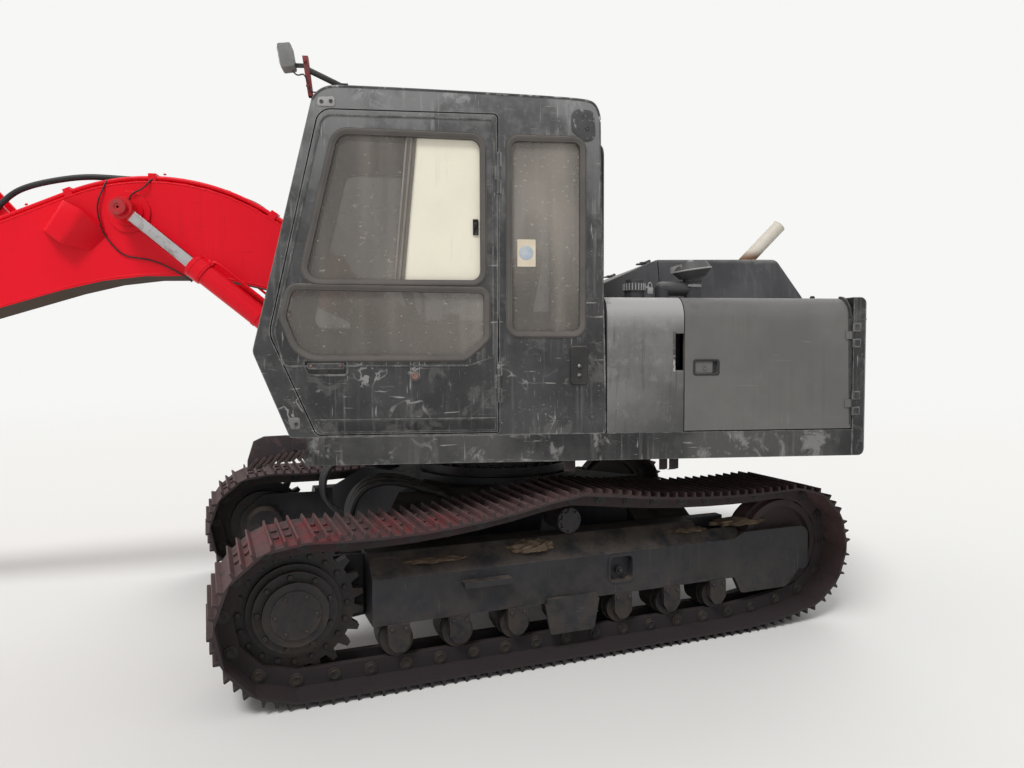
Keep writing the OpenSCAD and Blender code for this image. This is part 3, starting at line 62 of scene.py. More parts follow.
# Plain studio: a pale floor that fades into a pale surround, one broad high lamp from the camera's side
# and a weak one from behind. Camera, glossy and transmission rays see the surround at its own colour.
surround_colour = (0.93, 0.93, 0.92, 1)
surround_light = 0.62
floor_size, fade_from, fade_to = 300, 7.0, 26.0


def feed(tree, socket, value):
    """Links a socket to another node's output, or sets its constant."""
    if isinstance(value, bpy.types.NodeSocket):
        tree.links.new(value, socket)
    else:
        socket.default_value = value


def made(tree, kind, inputs, out=0, **settings):
    """Adds a shader node with its settings and inputs, and returns one of its outputs."""
    new = tree.nodes.new("ShaderNode" + kind)
    for key, value in settings.items():
        setattr(new, key, value)
    for slot, value in inputs.items():
        feed(tree, new.inputs[slot], value)
    return new.outputs[out]


def ramp(tree, value, low, high, most=1.0, curve="SMOOTHSTEP"):
    """0 below the low bound, rising to its most at the high bound."""
    return made(tree, "MapRange", {"Value": value, "From Min": low, "From Max": high, "To Max": most},
                interpolation_type=curve)


def maths(tree, operation, a, b, clamp=False):
    return made(tree, "Math", {0: a, 1: b}, operation=operation, use_clamp=clamp)


def vectors(tree, operation, a, b, out=0):
    return made(tree, "VectorMath", {0: a, 1: b}, out, operation=operation)


def seen_ray(tree):
    """1 for rays that show the surround itself, 0 for those that carry its light."""
    rays = made(tree, "LightPath", {}).node.outputs
    seen = maths(tree, "MAXIMUM", rays["Is Camera Ray"], rays["Is Glossy Ray"])
    return maths(tree, "MAXIMUM", seen, rays["Is Transmission Ray"])


def new_paint(name):
    """A material, its node tree and its shader."""
    material = bpy.data.materials.new(name)
    material.use_nodes = True
    return material, material.node_tree, material.node_tree.nodes["Principled BSDF"]


world = bpy.data.worlds.new("studio")
bpy.context.scene.world = world
world.use_nodes = True
bpy.context.scene.view_settings.view_transform = "Standard"
tree, sky = world.node_tree, world.node_tree.nodes["Background"].inputs
feed(tree, sky["Color"], surround_colour)
feed(tree, sky["Strength"], made(tree, "MapRange", {"Value": seen_ray(tree), "To Min": surround_light, "To Max": 1.0}))

bpy.ops.object.select_all(action="DESELECT")
bpy.ops.mesh.primitive_plane_add(size=floor_size)
floor = bpy.context.object
floor.name = "floor"
floor_paint, tree, shader = new_paint("floor_paint")
feed(tree, shader.inputs["Base Color"], (0.72, 0.715, 0.70, 1))
feed(tree, shader.inputs["Roughness"], 0.9)
reach = made(tree, "VectorMath", {0: made(tree, "TexCoord", {}, "Object")}, "Value", operation="LENGTH")
share = maths(tree, "MULTIPLY", ramp(tree, reach, fade_from, fade_to), seen_ray(tree))
mix = made(tree, "MixShader", {0: share, 1: shader.outputs[0], 2: made(tree, "Emission", {"Color": surround_colour})})
feed(tree, tree.nodes["Material Output"].inputs["Surface"], mix)
floor.data.materials.append(floor_paint)

for lamp_name, towards, power, breadth in (("high_lamp", (0.35, 0.62, 1.0), 1.9, 18),
                                           ("rear_lamp", (-0.5, -0.8, 0.9), 0.7, 40)):
    lamp = bpy.data.objects.new(lamp_name, bpy.data.lights.new(lamp_name, "SUN"))
    lamp.data.energy = power
    lamp.data.angle = math.radians(breadth)
    lamp.rotation_euler = Vector(towards).to_track_quat("Z", "Y").to_euler()
    bpy.context.collection.objects.link(lamp)

# Carbody: the welded centre of the undercarriage with its four box legs and the towing eyes. Plate steel in
# matt black paint, dusty on top and scraped at the edges. The finishes of the whole machine share the wear below.
def build_wear():
    """Masks that every finish of the machine uses, such as clouds, streaks, worn edges, chips, dust and mud."""
    tree = bpy.data.node_groups.new("wear", "ShaderNodeTree")
    for name, begin in (("Size", 1.0), ("Edge Width", 0.006), ("Edge Break", 0.5), ("Shift", 0.0)):
        tree.interface.new_socket(name, in_out="INPUT", socket_type="NodeSocketFloat").default_value = begin
    given = tree.nodes.new("NodeGroupInput").outputs
    place = made(tree, "TexCoord", {}, "Object")
    moved = vectors(tree, "ADD", place, given["Shift"])
    sized = made(tree, "VectorMath", {0: moved, "Scale": given["Size"]}, operation="SCALE")

    def noise(scale, detail, stretch=None, rough=0.55, twist=0.0, sharp=None):
        spot = vectors(tree, "MULTIPLY", sized, stretch) if stretch else sized
        value = made(tree, "TexNoise", {"Vector": spot, "Scale": scale, "Detail": detail, "Roughness": rough,
                                        "Distortion": twist})
        return ramp(tree, value, *sharp) if sharp else value

    def times(a, b, operation="MULTIPLY"):
        return maths(tree, operation, a, b, True)

    normal = made(tree, "NewGeometry", {}, "Normal")
    turned_off = made(tree, "Bevel", {"Radius": given["Edge Width"]}, samples=4)
    bare = ramp(tree, vectors(tree, "DOT_PRODUCT", turned_off, normal, "Value"), 0.995, 0.90, curve="LINEAR")
    broken = ramp(tree, times(noise(14, 6, rough=0.7), 0.2, "ADD"), given["Edge Break"], 1.0)
    fine = noise(60, 3, (1, 1, 0.06), twist=0.2, sharp=(0.66, 0.7))
    level_scratch = noise(55, 3, (0.07, 0.3, 1), twist=0.4, sharp=(0.67, 0.71))
    lying = ramp(tree, made(tree, "SeparateXYZ", {0: normal}, "Z"), 0.25, 0.95, curve="LINEAR")
    low = ramp(tree, made(tree, "SeparateXYZ", {0: place}, "Z"), 0.75, 0.0)
    tide = made(tree, "Math", {0: noise(1.9, 4, twist=0.5), 1: 0.5, 2: 0.007}, operation="COMPARE")
    masks = {
        "Clouds": noise(2.1, 6, rough=0.6, sharp=(0.36, 0.66)),
        "Patches": noise(5.5, 8, rough=0.68, twist=0.6, sharp=(0.53, 0.63)),
        "Streaks": times(noise(9, 4, (3.2, 3.2, 0.14), sharp=(0.5, 0.72)), noise(3, 2, sharp=(0.4, 0.6))),
        "Scratches": times(times(fine, level_scratch, "MAXIMUM"), noise(4, 3, sharp=(0.45, 0.58))),
        "Edges": times(bare, broken),
        "Chips": times(noise(46, 4, rough=0.6, sharp=(0.66, 0.7)), noise(3.4, 3, sharp=(0.48, 0.6))),
        "Dust": times(lying, noise(7, 6, rough=0.7, sharp=(0.3, 0.62))),
        "Mud": times(low, noise(6, 7, rough=0.7, sharp=(0.34, 0.6))),
        "Grain": noise(120, 5, rough=0.6),
        "Tides": times(tide, noise(2.6, 3, sharp=(0.45, 0.6)))}
    for name in masks:
        tree.interface.new_socket(name, in_out="OUTPUT", socket_type="NodeSocketFloat")
    out = tree.nodes.new("NodeGroupOutput").inputs
    for name, value in masks.items():
        feed(tree, out[name], value)
    return tree


wear = build_wear()


def coat(tree, mask, tint, rough=None):
    """Mixes another colour and roughness over what the shader has, where the mask is 1."""
    for name, value, kind, a, out in (("Base Color", (*tint, 1), "RGBA", 6, 2), ("Roughness", rough, "FLOAT", 2, 0)):
        if value is not None:
            socket = tree.nodes["Principled BSDF"].inputs[name]
            before = socket.links[0].from_socket if socket.links else socket.default_value
            feed(tree, socket, made(tree, "Mix", {0: mask, a: before, a + 1: value}, out, data_type=kind))


def finish(name, slot, colour, rough, layers, size=1.0, edge=0.006, edge_break=0.5, shift=0.0, bump=0.15, depth=0.001,
           **sockets):
    """A coat of one colour under layers of wear. A layer is (mask, colour, how much, roughness)."""
    material, tree, shader = new_paint(name)
    feed(tree, shader.inputs["Base Color"], (*colour, 1))
    feed(tree, shader.inputs["Roughness"], rough)
    masks = made(tree, "Group", {"Size": size, "Edge Width": edge, "Edge Break": edge_break, "Shift": shift},
                 node_tree=wear).node.outputs
    for mask, tint, amount, layer_rough in layers:
        coat(tree, maths(tree, "MULTIPLY", masks[mask], amount), tint, layer_rough)
    grain = made(tree, "Bump", {"Strength": bump, "Distance": depth, "Height": masks["Grain"]})
    feed(tree, shader.inputs["Normal"], grain)
    for key, value in {"Specular_IOR_Level": 0.3, **sockets}.items():
        feed(tree, shader.inputs[key.replace("_", " ")], value)
    return material


def dress(material, *nodes):
    """Gives CAD nodes their finish in every material slot."""
    for name in nodes:
        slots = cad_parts[name].material_slots
        for slot in slots:
            slot.material = material
        if not slots:
            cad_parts[name].data.materials.append(material)


def painted_over(material, tint, values, rough=None):
    """Another colour over part of a coat, where every value of the place lies between its bounds. It lays paint and
    stains, and painted highlights and shade too.
    """
    tree = material.node_tree
    masks = tree.nodes["Group"].outputs
    place = made(tree, "TexCoord", {}).node.outputs
    mask = None
    for source, weights, low, high in values:
        if source == "near":
            measure = vectors(tree, "DISTANCE", vectors(tree, "MULTIPLY", place["Object"], (1, 0, 1)), weights, "Value")
        elif source == "mist":
            measure = made(tree, "TexNoise", {"Vector": place["Object"], "Scale": weights, "Detail": 7.0,
                                              "Roughness": 0.7})
        else:
            measure = vectors(tree, "DOT_PRODUCT", (masks if source in masks else place)[source], weights, "Value")
        share = ramp(tree, measure, low, high)
        mask = maths(tree, "MULTIPLY", mask, share) if mask else share
    coat(tree, mask, tint, rough)
    return mask


pale_scuff = (0.30, 0.295, 0.285)
grey_haze = (0.115, 0.113, 0.112)
sand = (0.42, 0.34, 0.24)
earth = (0.20, 0.155, 0.115)
dark_earth = (0.085, 0.066, 0.052)
bright_scratch = (0.40, 0.39, 0.37)
pale_dust = (0.30, 0.28, 0.25)
forward, leftward, upwards, downwards = (1, 0, 0), (0, 1, 0), (0, 0, 1), (0, 0, -1)
whole = (1, 1, 1)
# The black is set darker than the paint itself, as painted shade for the undercarriage under the house.
chassis_black = finish("chassis_black", "black_paint", (0.011, 0.012, 0.015), 0.5, [
    ("Clouds", (0.020, 0.021, 0.026), 0.8, 0.55), ("Streaks", (0.035, 0.034, 0.036), 0.4, 0.65),
    ("Scratches", (0.09, 0.085, 0.08), 0.4, 0.6), ("Edges", (0.060, 0.060, 0.068), 0.6, 0.45),
    ("Mud", dark_earth, 0.45, 0.9), ("Dust", earth, 0.30, 0.95)], size=1.3)
dress(chassis_black, "carbody", "track_frame_left", "track_frame_right")

# Rusty chain and shoes: hot rolled steel, brown with rust, polished on the grouser tips by the ground. The brown is
# kept darker than the rust itself, as painted shade for the chain under the house. The upper run in front was caught
# by the red paint when the boom was sprayed. The lower run and the flanks are painted darker still, as painted shade.
shoe_rust = finish("shoe_rust", "rusty_steel", (0.070, 0.040, 0.040), 0.75, [
    ("Clouds", (0.105, 0.062, 0.060), 0.8, 0.8), ("Patches", (0.036, 0.025, 0.027), 0.8, 0.75),
    ("Streaks", (0.13, 0.09, 0.085), 0.3, 0.75), ("Edges", (0.20, 0.145, 0.135), 0.65, 0.4),
    ("Chips", (0.024, 0.017, 0.016), 0.7, 0.9), ("Mud", dark_earth, 0.35, 0.95)],
    size=1.6, edge=0.005, edge_break=0.35, bump=0.5, depth=0.002)
painted_over(shoe_rust, (0.19, 0.022, 0.028), [("Object", forward, 0.05, 0.75), ("Object", upwards, 0.62, 0.74),
                                               ("Object", leftward, 0.5, 0.8), ("mist", 3.4, 0.46, 0.66)])
# Painted shade: the lower run, and the faces of the chain that look to the sides, are coloured darker.
painted_over(shoe_rust, (0.020, 0.016, 0.018), [("Object", downwards, -0.80, 0.15)], rough=0.8)
for side_way in (leftward, (0, -1, 0)):
    painted_over(shoe_rust, (0.022, 0.018, 0.020), [("Normal", side_way, 0.4, 1.25)], rough=0.8)
dress(shoe_rust, "track_left", "track_right", "idler_left", "idler_right")

# Running gear: forged rollers, toothed sprockets and the slewing ring, all bolted on. They are bare steel, dark with
# grease and packed dirt.
greasy_steel = finish("greasy_steel", "dark_steel", (0.013, 0.013, 0.016), 0.42, [
    ("Clouds", (0.028, 0.026, 0.027), 0.8, 0.55), ("Patches", (0.045, 0.033, 0.028), 0.6, 0.8),
    ("Edges", (0.11, 0.10, 0.10), 0.6, 0.4), ("Mud", dark_earth, 0.45, 0.95), ("Dust", earth, 0.3, 0.95)],
    size=1.8, bump=0.3, Metallic=0.25)
dress(greasy_steel, "rollers_left", "rollers_right", "sprocket_left", "sprocket_right", "slew_ring")

# House: sheet steel in brushed-on black paint over older paint. It is scuffed pale on the edges and the skirt,
# greyed by dust on the engine doors, and glossier towards the cab's roof, where a grey sheen and a pale band are
# painted reflection and a painted highlight.
house_black = finish("house_black", "black_paint", (0.012, 0.012, 0.013), 0.40, [
    ("Clouds", (0.046, 0.046, 0.047), 0.75, 0.5), ("Streaks", grey_haze, 0.6, 0.6),
    ("Patches", (0.11, 0.108, 0.105), 0.45, 0.7), ("Scratches", bright_scratch, 0.6, 0.6),
    ("Chips", pale_scuff, 0.8, 0.7), ("Edges", (0.36, 0.355, 0.345), 0.9, 0.55), ("Dust", pale_dust, 0.30, 0.85)],
    size=1.7, edge=0.009, edge_break=0.42, bump=0.25)
dress(house_black, "revolving_frame", "counterweight", "fuel_tank", "oil_tank", "tool_box")
skirt_black = finish("skirt_black", "black_paint", (0.018, 0.018, 0.019), 0.5, [
    ("Clouds", (0.080, 0.079, 0.077), 0.8, 0.6), ("Streaks", (0.17, 0.165, 0.16), 0.45, 0.7),
    ("Patches", (0.25, 0.245, 0.237), 0.6, 0.75), ("Scratches", bright_scratch, 0.6, 0.6),
    ("Chips", (0.42, 0.415, 0.40), 0.9, 0.7), ("Edges", (0.38, 0.375, 0.365), 0.9, 0.55),
    ("Dust", pale_dust, 0.35, 0.85)], size=1.25, shift=3.1, bump=0.3)
dress(skirt_black, "deck_left", "deck_right")
panel_black = finish("panel_black", "black_paint", (0.125, 0.123, 0.12), 0.55, [
    ("Clouds", (0.19, 0.187, 0.182), 0.7, 0.62), ("Patches", (0.27, 0.265, 0.257), 0.3, 0.7),
    ("Streaks", (0.05, 0.05, 0.05), 0.6, 0.55), ("Scratches", bright_scratch, 0.5, 0.6),
    ("Edges", pale_scuff, 0.6, 0.55)], size=2.6, shift=7.7, bump=0.25)
# The side panel is darker towards its lower rear corner. The pale band along its top shoulder is a painted highlight,
# and it also lies on every other part in this paint above 1.8 m, such as the filler cap, the intake fittings and the
# hood handle.
painted_over(panel_black, (0.035, 0.035, 0.036), [("Object", (-0.7, 0, -1), -1.15, -0.35)], rough=0.5)
painted_over(panel_black, (0.33, 0.325, 0.32), [("Object", upwards, 1.66, 1.80)], rough=0.6)
dress(panel_black, "left_panel")
door_grey = finish("door_grey", "black_paint", (0.112, 0.108, 0.104), 0.62, [
    ("Clouds", (0.145, 0.140, 0.134), 0.8, 0.66), ("Streaks", (0.085, 0.080, 0.075), 0.35, 0.7),
    ("Scratches", pale_scuff, 0.2, 0.6), ("Edges", (0.17, 0.168, 0.165), 0.6, 0.6)], size=0.9, shift=1.4, bump=0.2)
cab_black = house_black.copy()
cab_black.name = "cab_black"
# On the cab, the first layer is a grey sheen that grows up the upper frame, part dust and part painted reflection, and
# the second is a pale band under the roof's edge, a painted highlight. Scuffs, streaks, chips and tide stains follow.
for tint, values, rough in (
        ((0.200, 0.198, 0.200), [("Object", upwards, 1.75, 3.10), ("Clouds", whole, -1.6, 2.6)], 0.36),
        ((0.36, 0.355, 0.36), [("Object", upwards, 2.66, 2.90), ("Patches", whole, -1.0, 3.6)], 0.4),
        ((0.24, 0.235, 0.235), [("Object", upwards, 1.9, 2.6), ("Streaks", whole, 0.2, 4.0)], 0.5),
        ((0.34, 0.335, 0.33), [("Object", upwards, 1.9, 2.6), ("Chips", whole, 0.5, 3.6)], 0.6),
        ((0.23, 0.225, 0.22), [("Object", downwards, -1.56, -1.50), ("Tides", whole, 0.5, 3.4)], 0.6)):
    painted_over(cab_black, tint, values, rough)
for name, value in (("Coat Weight", 0.35), ("Coat Roughness", 0.22)):
    cab_black.node_tree.nodes["Principled BSDF"].inputs[name].default_value = value
dress(cab_black, "cab_shell", "cab_door")
painted_over(door_grey, (0.020, 0.020, 0.021), [("Object", (-1, 0, 0), 1.722, 1.730)], rough=0.5)
dress(door_grey, "left_engine_door", "right_engine_door")
hood_black = finish("hood_black", "black_paint", (0.040, 0.040, 0.044), 0.5, [
    ("Clouds", (0.080, 0.080, 0.085), 0.8, 0.55), ("Streaks", (0.13, 0.13, 0.13), 0.35, 0.65),
    ("Chips", (0.22, 0.215, 0.21), 0.5, 0.7), ("Edges", (0.22, 0.22, 0.22), 0.7, 0.5), ("Dust", pale_dust, 0.40, 0.85)],
    size=1.2, shift=4.4, bump=0.25)
dress(hood_black, "side_covers", "front_cover", "engine_hood", "air_intake")

# Boom, arm and cylinders: welded steel, sprayed red in one thick coat over everything, pipes and hoses as well.
# The boom's faces that look down are brown and matt. Each chromed rod ends in an eye that was sprayed with the rest.
boom_red = finish("boom_red", "red_paint", (0.76, 0.002, 0.014), 0.36, [
    ("Clouds", (0.83, 0.003, 0.019), 0.8, 0.34), ("Streaks", (0.62, 0.004, 0.014), 0.25, 0.4),
    ("Scratches", (0.40, 0.008, 0.012), 0.3, 0.5), ("Edges", (0.45, 0.006, 0.010), 0.35, 0.5),
    ("Dust", (0.62, 0.030, 0.032), 0.2, 0.6)], size=0.8, bump=0.08, Specular_IOR_Level=0.2)
dress(boom_red, "boom_lines", "boom_barrels", "arm", "arm_barrel", "bucket_barrel", "levers", "bucket_link")
boom_coat = boom_red.copy()
boom_coat.name = "boom_coat"
painted_over(boom_coat, (0.075, 0.052, 0.038), [("Normal", downwards, 0.45, 0.75)], rough=0.95)
dress(boom_coat, "boom")
eye_edge = 0.006
for node, pin, reach in (("boom_rods", (2.175, 0, 2.395), 0.080), ("arm_rod", (4.623, 0, 1.748), 0.072),
                         ("bucket_rod", (6.374, 0, 0.949), 0.068)):
    chrome = finish(f"{node}_chrome", "bright_steel", (0.46, 0.455, 0.46), 0.16, [
        ("Clouds", (0.36, 0.35, 0.35), 0.7, 0.22), ("Patches", (0.20, 0.13, 0.11), 0.45, 0.45),
        ("Scratches", (0.3, 0.27, 0.25), 0.5, 0.35)], size=2.5, bump=0.05, Metallic=1.0)
    painted = painted_over(chrome, (0.60, 0.010, 0.018), [("near", pin, reach, reach - eye_edge)])
    tree = chrome.node_tree
    feed(tree, tree.nodes["Principled BSDF"].inputs["Metallic"], maths(tree, "SUBTRACT", 1.0, painted))
    dress(chrome, node)

# Bucket, exhaust and dark parts: the bucket is worn steel with earth in its corners. The exhaust is heat-proof
# cream paint, brown with rust at its foot. Seat, consoles and lamp are dark plastic.
bucket_steel = finish("bucket_steel", "dark_steel", (0.050, 0.046, 0.044), 0.6, [
    ("Clouds", (0.115, 0.072, 0.055), 0.8, 0.8), ("Patches", (0.15, 0.085, 0.06), 0.6, 0.85),
    ("Scratches", (0.30, 0.28, 0.26), 0.6, 0.4), ("Edges", (0.34, 0.32, 0.30), 0.8, 0.35), ("Mud", earth, 0.4, 0.95)],
    size=1.4, bump=0.4)
dress(bucket_steel, "bucket")
exhaust_cream = finish("exhaust_cream", "cream_paint", (0.60, 0.55, 0.47), 0.5, [
    ("Clouds", (0.66, 0.62, 0.55), 0.8, 0.5), ("Patches", (0.46, 0.38, 0.30), 0.4, 0.7),
    ("Chips", (0.32, 0.22, 0.15), 0.4, 0.8)], size=4.0, bump=0.1)
painted_over(exhaust_cream, (0.17, 0.085, 0.045), [("Object", downwards, -2.190, -2.125)], rough=0.85)
dress(exhaust_cream, "exhaust")
blank_cream = finish("blank_cream", "cream_paint", (0.80, 0.755, 0.63), 0.5, [
    ("Clouds", (0.76, 0.715, 0.60), 0.8, 0.55), ("Streaks", (0.70, 0.655, 0.55), 0.6, 0.6),
    ("Chips", (0.5, 0.45, 0.36), 0.3, 0.7)], size=2.6, bump=0.1)
dress(blank_cream, "door_blank_panel")
inside_black = finish("inside_black", "dark_plastic", (0.022, 0.022, 0.023), 0.65, [
    ("Clouds", (0.04, 0.038, 0.036), 0.8, 0.7), ("Dust", (0.25, 0.22, 0.18), 0.5, 0.9),
    ("Edges", (0.10, 0.10, 0.10), 0.5, 0.5)], size=3.0)
dress(inside_black, "seat", "consoles", "roof_lamp", "engine_block")

# Window panes: 5 mm toughened glass with a brown film of dust in clouds, streaked by rain.
# Dried drops lie over it as small specks.
glass, tree, shader = new_paint("dusty_glass")
place = made(tree, "TexCoord", {}, "Object")
film = None
for stretch, scale, low, high, share in ((whole, 1.3, 0.35, 0.75, 0.6), ((3, 3, 0.2), 2.4, 0.45, 0.75, 0.4),
                                         ((1, 1, 1.7), 38, 0.62, 0.74, 0.55)):
    spot = vectors(tree, "MULTIPLY", place, stretch)
    part = ramp(tree, made(tree, "TexNoise", {"Vector": spot, "Scale": scale, "Detail": 2.0}), low, high, share)
    film = maths(tree, "ADD", film, part, True) if film else part
for name, low, high in (("Alpha", 0.50, 0.78), ("Roughness", 0.06, 0.35)):
    feed(tree, shader.inputs[name], made(tree, "MapRange", {"Value": film, "To Min": low, "To Max": high}))
tint = made(tree, "Mix", {0: film, 6: (0.16, 0.145, 0.128, 1), 7: (0.37, 0.335, 0.295, 1)}, 2, data_type="RGBA")
feed(tree, shader.inputs["Base Color"], tint)
dress(glass, "cab_glass", "door_glass")

# Shoe bolts: four 16 mm bolts hold each triple-grouser shoe to its two chain links. Their heads lie between the
# bars. Each link's pin shows as a round boss with a pressed-in pin end on the outside of the rail.
sides = (("left", 1), ("right", -1))


def alone(piece=None):
    """Back to whole objects, with only this piece chosen."""
    if bpy.context.mode != "OBJECT":
        bpy.ops.object.mode_set(mode="OBJECT")
    bpy.ops.object.select_all(action="DESELECT")
    if piece:
        piece.select_set(True)
        bpy.context.view_layer.objects.active = piece


def start(kind, **size):
    """A primitive on its own, at its size and place, open for shaping."""
    alone()
    getattr(bpy.ops.mesh, f"primitive_{kind}_add")(**size)
    bpy.ops.object.transform_apply(location=True, rotation=True, scale=True)
    bpy.ops.object.mode_set(mode="EDIT")
    return bpy.context.object


def pick(piece, test, kind="FACE"):
    """Selects only the faces or edges that pass the test."""
    bpy.ops.mesh.select_mode(type=kind)
    bpy.ops.mesh.select_all(action="DESELECT")
    form = bmesh.from_edit_mesh(piece.data)
    for part in form.faces if kind == "FACE" else form.edges:
        if test(part):
            part.select_set(True)
    bmesh.update_edit_mesh(piece.data)


square_on = 0.9


def facing(way):
    """Test for the faces that look this way."""
    return lambda face: face.normal.dot(Vector(way).normalized()) > square_on


def ends(way):
    """Test for the two end faces of a piece that lies along this way."""
    return lambda face: abs(face.normal.dot(Vector(way))) > square_on


def soften(piece, bevel, segments=1, test=lambda edge: True):
    """Breaks all edges, or only those that pass the test."""
    pick(piece, test, "EDGE")
    bpy.ops.mesh.bevel(offset=bevel, segments=segments)
    return piece


def stepped(piece, steps, test=facing(upwards)):
    """Insets the faces that pass the test, step by step. A step is (width inwards, rise)."""
    pick(piece, test)
    for width, rise in steps:
        bpy.ops.mesh.inset(thickness=width, depth=rise)
    return piece


def disc(radius, height, steps=(), vertices=24, z=None):
    """A turned disc that stands on the ground, with the steps of its upper face."""
    return stepped(start("cylinder", vertices=vertices, radius=radius, depth=height,
                         location=(0, 0, height / 2 if z is None else z)), steps)


def block(size, bevel, place=(0, 0, 0), segments=2, test=lambda edge: True):
    """A box whose edges are broken, or only those that pass the test."""
    return soften(start("cube", size=1, location=place, scale=size), bevel, segments, test)


def hoop(radius, depth, wall, rise, z=0, vertices=40):
    """A thin hoop round the upright, with rolled rims and open ends."""
    ring = start("cylinder", vertices=vertices, radius=radius, depth=depth, location=(0, 0, z))
    stepped(ring, [(wall, rise)], ends(upwards))
    bpy.ops.mesh.delete(type="FACE")
    return ring


def upright(edge):
    """Test for the standing edges of a small block."""
    return abs((edge.verts[0].co - edge.verts[1].co).z) > 0.005


def joined(pieces):
    alone()
    for piece in pieces:
        piece.select_set(True)
    bpy.context.view_layer.objects.active = pieces[0]
    if len(pieces) > 1:
        bpy.ops.object.join()
    return bpy.context.object


def settle(piece, name, body, material, smooth=35):
    """Ends the shaping: own name, place in the mesh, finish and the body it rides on."""
    if isinstance(piece, list):
        piece = joined(piece)
    alone(piece)
    bpy.ops.object.transform_apply(location=True, rotation=True, scale=True)
    piece.name = piece.data.name = name
    piece.data.materials.clear()
    piece.data.materials.append(material)
    bpy.ops.object.shade_smooth_by_angle(angle=math.radians(smooth))
    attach(piece, body)
    return piece


def spread(pattern, places):
    """Copies of one modelled piece, one at each place, joined into a single piece."""
    alone()
    for spot in places:
        copy = pattern.copy()
        copy.data = pattern.data.copy()
        copy.data.transform(spot)
        bpy.context.collection.objects.link(copy)
        copy.select_set(True)
        bpy.context.view_layer.objects.active = copy
    bpy.data.objects.remove(pattern)
    bpy.ops.object.join()
    return bpy.context.object


def standing(point, way, turn=0.0):
    """Place of a piece that was modelled upright on the ground, now standing on a surface that faces a way."""
    lean = Vector(way).to_track_quat("Z", "Y").to_matrix().to_4x4()
    return Matrix.Translation(point) @ lean @ Matrix.Rotation(turn, 4, "Z")


def shifted(*places):
    return [Matrix.Translation(p) for p in places]


def bolt_head(radius, height):
    """Hexagon head with its upper corners turned off."""
    head = start("cylinder", vertices=6, radius=radius, depth=height, location=(0, 0, height / 2))
    return soften(head, radius * 0.16, 1, lambda edge: all(corner.co.z > height / 2 for corner in edge.verts))


def round_points(radius, count, first=0.0, closed=False):
    """Points (across, up) evenly round a circle."""
    return [(radius * math.cos(a), radius * math.sin(a))
            for a in (first + 2 * math.pi * i / count for i in range(count + closed))]


track_turn = math.radians(15.3)
track_y = 0.995
turned = Matrix.Rotation(track_turn, 4, "Z")
pitch_r = 0.314
tip_r = 0.386
plate_out = 0.046
shoe_pitch = 0.1715
sprocket_c = Vector((1.387, 0, tip_r))
idler_c = Vector((-1.385, 0, 0.430))
idler_rise = math.radians(8)
pin_line_z = tip_r - pitch_r
crown_half = 0.060
crown_z = 0.690 + 0.066 + 0.042 + 0.012


def chain_arc(centre, start_deg, end_deg, parts):
    return [centre + Vector((math.cos(math.radians(a)), 0, math.sin(math.radians(a)))) * pitch_r
            for a in (start_deg + (end_deg - start_deg) * i / parts for i in range(parts + 1))]


def hanging(a, b, sag, parts):
    return [a.lerp(b, t) - Vector((0, 0, 4 * sag * t * (1 - t))) for t in (i / parts for i in range(1, parts))]


crown = [Vector((-crown_half, 0, crown_z)), Vector((crown_half, 0, crown_z))]
round_idler = chain_arc(idler_c, -98, -273.5, 30)
round_sprocket = chain_arc(sprocket_c, 94.5, -90, 30)
rise_x = round_idler[0].x + (round_idler[0].z - pin_line_z) / math.tan(idler_rise)
pin_path = [Vector((sprocket_c.x, 0, pin_line_z)), Vector((rise_x, 0, pin_line_z)), *round_idler,
            *hanging(round_idler[-1], crown[0], 0.035, 12), *crown, *hanging(crown[1], round_sprocket[0], 0.052, 12),
            *round_sprocket]
gone = [0.0]
for a, b in zip(pin_path, pin_path[1:]):
    gone.append(gone[-1] + (b - a).length)
shoe_n = round(gone[-1] / shoe_pitch)


def pin_at(i):
    reach = (i % shoe_n) * gone[-1] / shoe_n
    k = max(j for j, length in enumerate(gone[:-1]) if length <= reach)
    return pin_path[k].lerp(pin_path[k + 1], (reach - gone[k]) / max(gone[k + 1] - gone[k], 1e-9))


for side_name, s in sides:
    heads, bosses = [], []
    for a, b in ((pin_at(i), pin_at(i + 1)) for i in range(shoe_n)):
        run = (b - a).normalized()
        out = Vector((-run.z, 0, run.x))
        for share in (1 / 3, 2 / 3):
            for y in (-0.070, 0.070):
                spot = a.lerp(b, share) + out * plate_out + Vector((0, s * track_y + y, 0))
                heads.append(turned @ standing(spot, out))
        for y in (-0.088, 0.088):
            bosses.append(turned @ standing(a + Vector((0, s * track_y + y, 0)), (0, y, 0)))
    settle(spread(bolt_head(0.0145, 0.011), heads), f"shoe_bolts_{side_name}", "undercarriage", shoe_rust)
    boss = disc(0.031, 0.006, [(0.011, 0), (0.001, 0.005), (0.008, -0.002)], 14)
    settle(spread(boss, bosses), f"link_pins_{side_name}", "undercarriage", greasy_steel)

# Bolts of the drives, rollers and slewing ring: zinc long gone, dark with grease and dust. Nine close the hub cover,
# twenty hold the sprocket's toothed ring, eight the carrier roller's cap, two each roller's collar.
def bolt_ring(centre, radius, count, way, first=0.0):
    """Places evenly round a circle that faces a way."""
    frame_of = standing(centre, way)
    return [frame_of @ Matrix.Translation((x, y, 0)) for x, y in round_points(radius, count, first)]


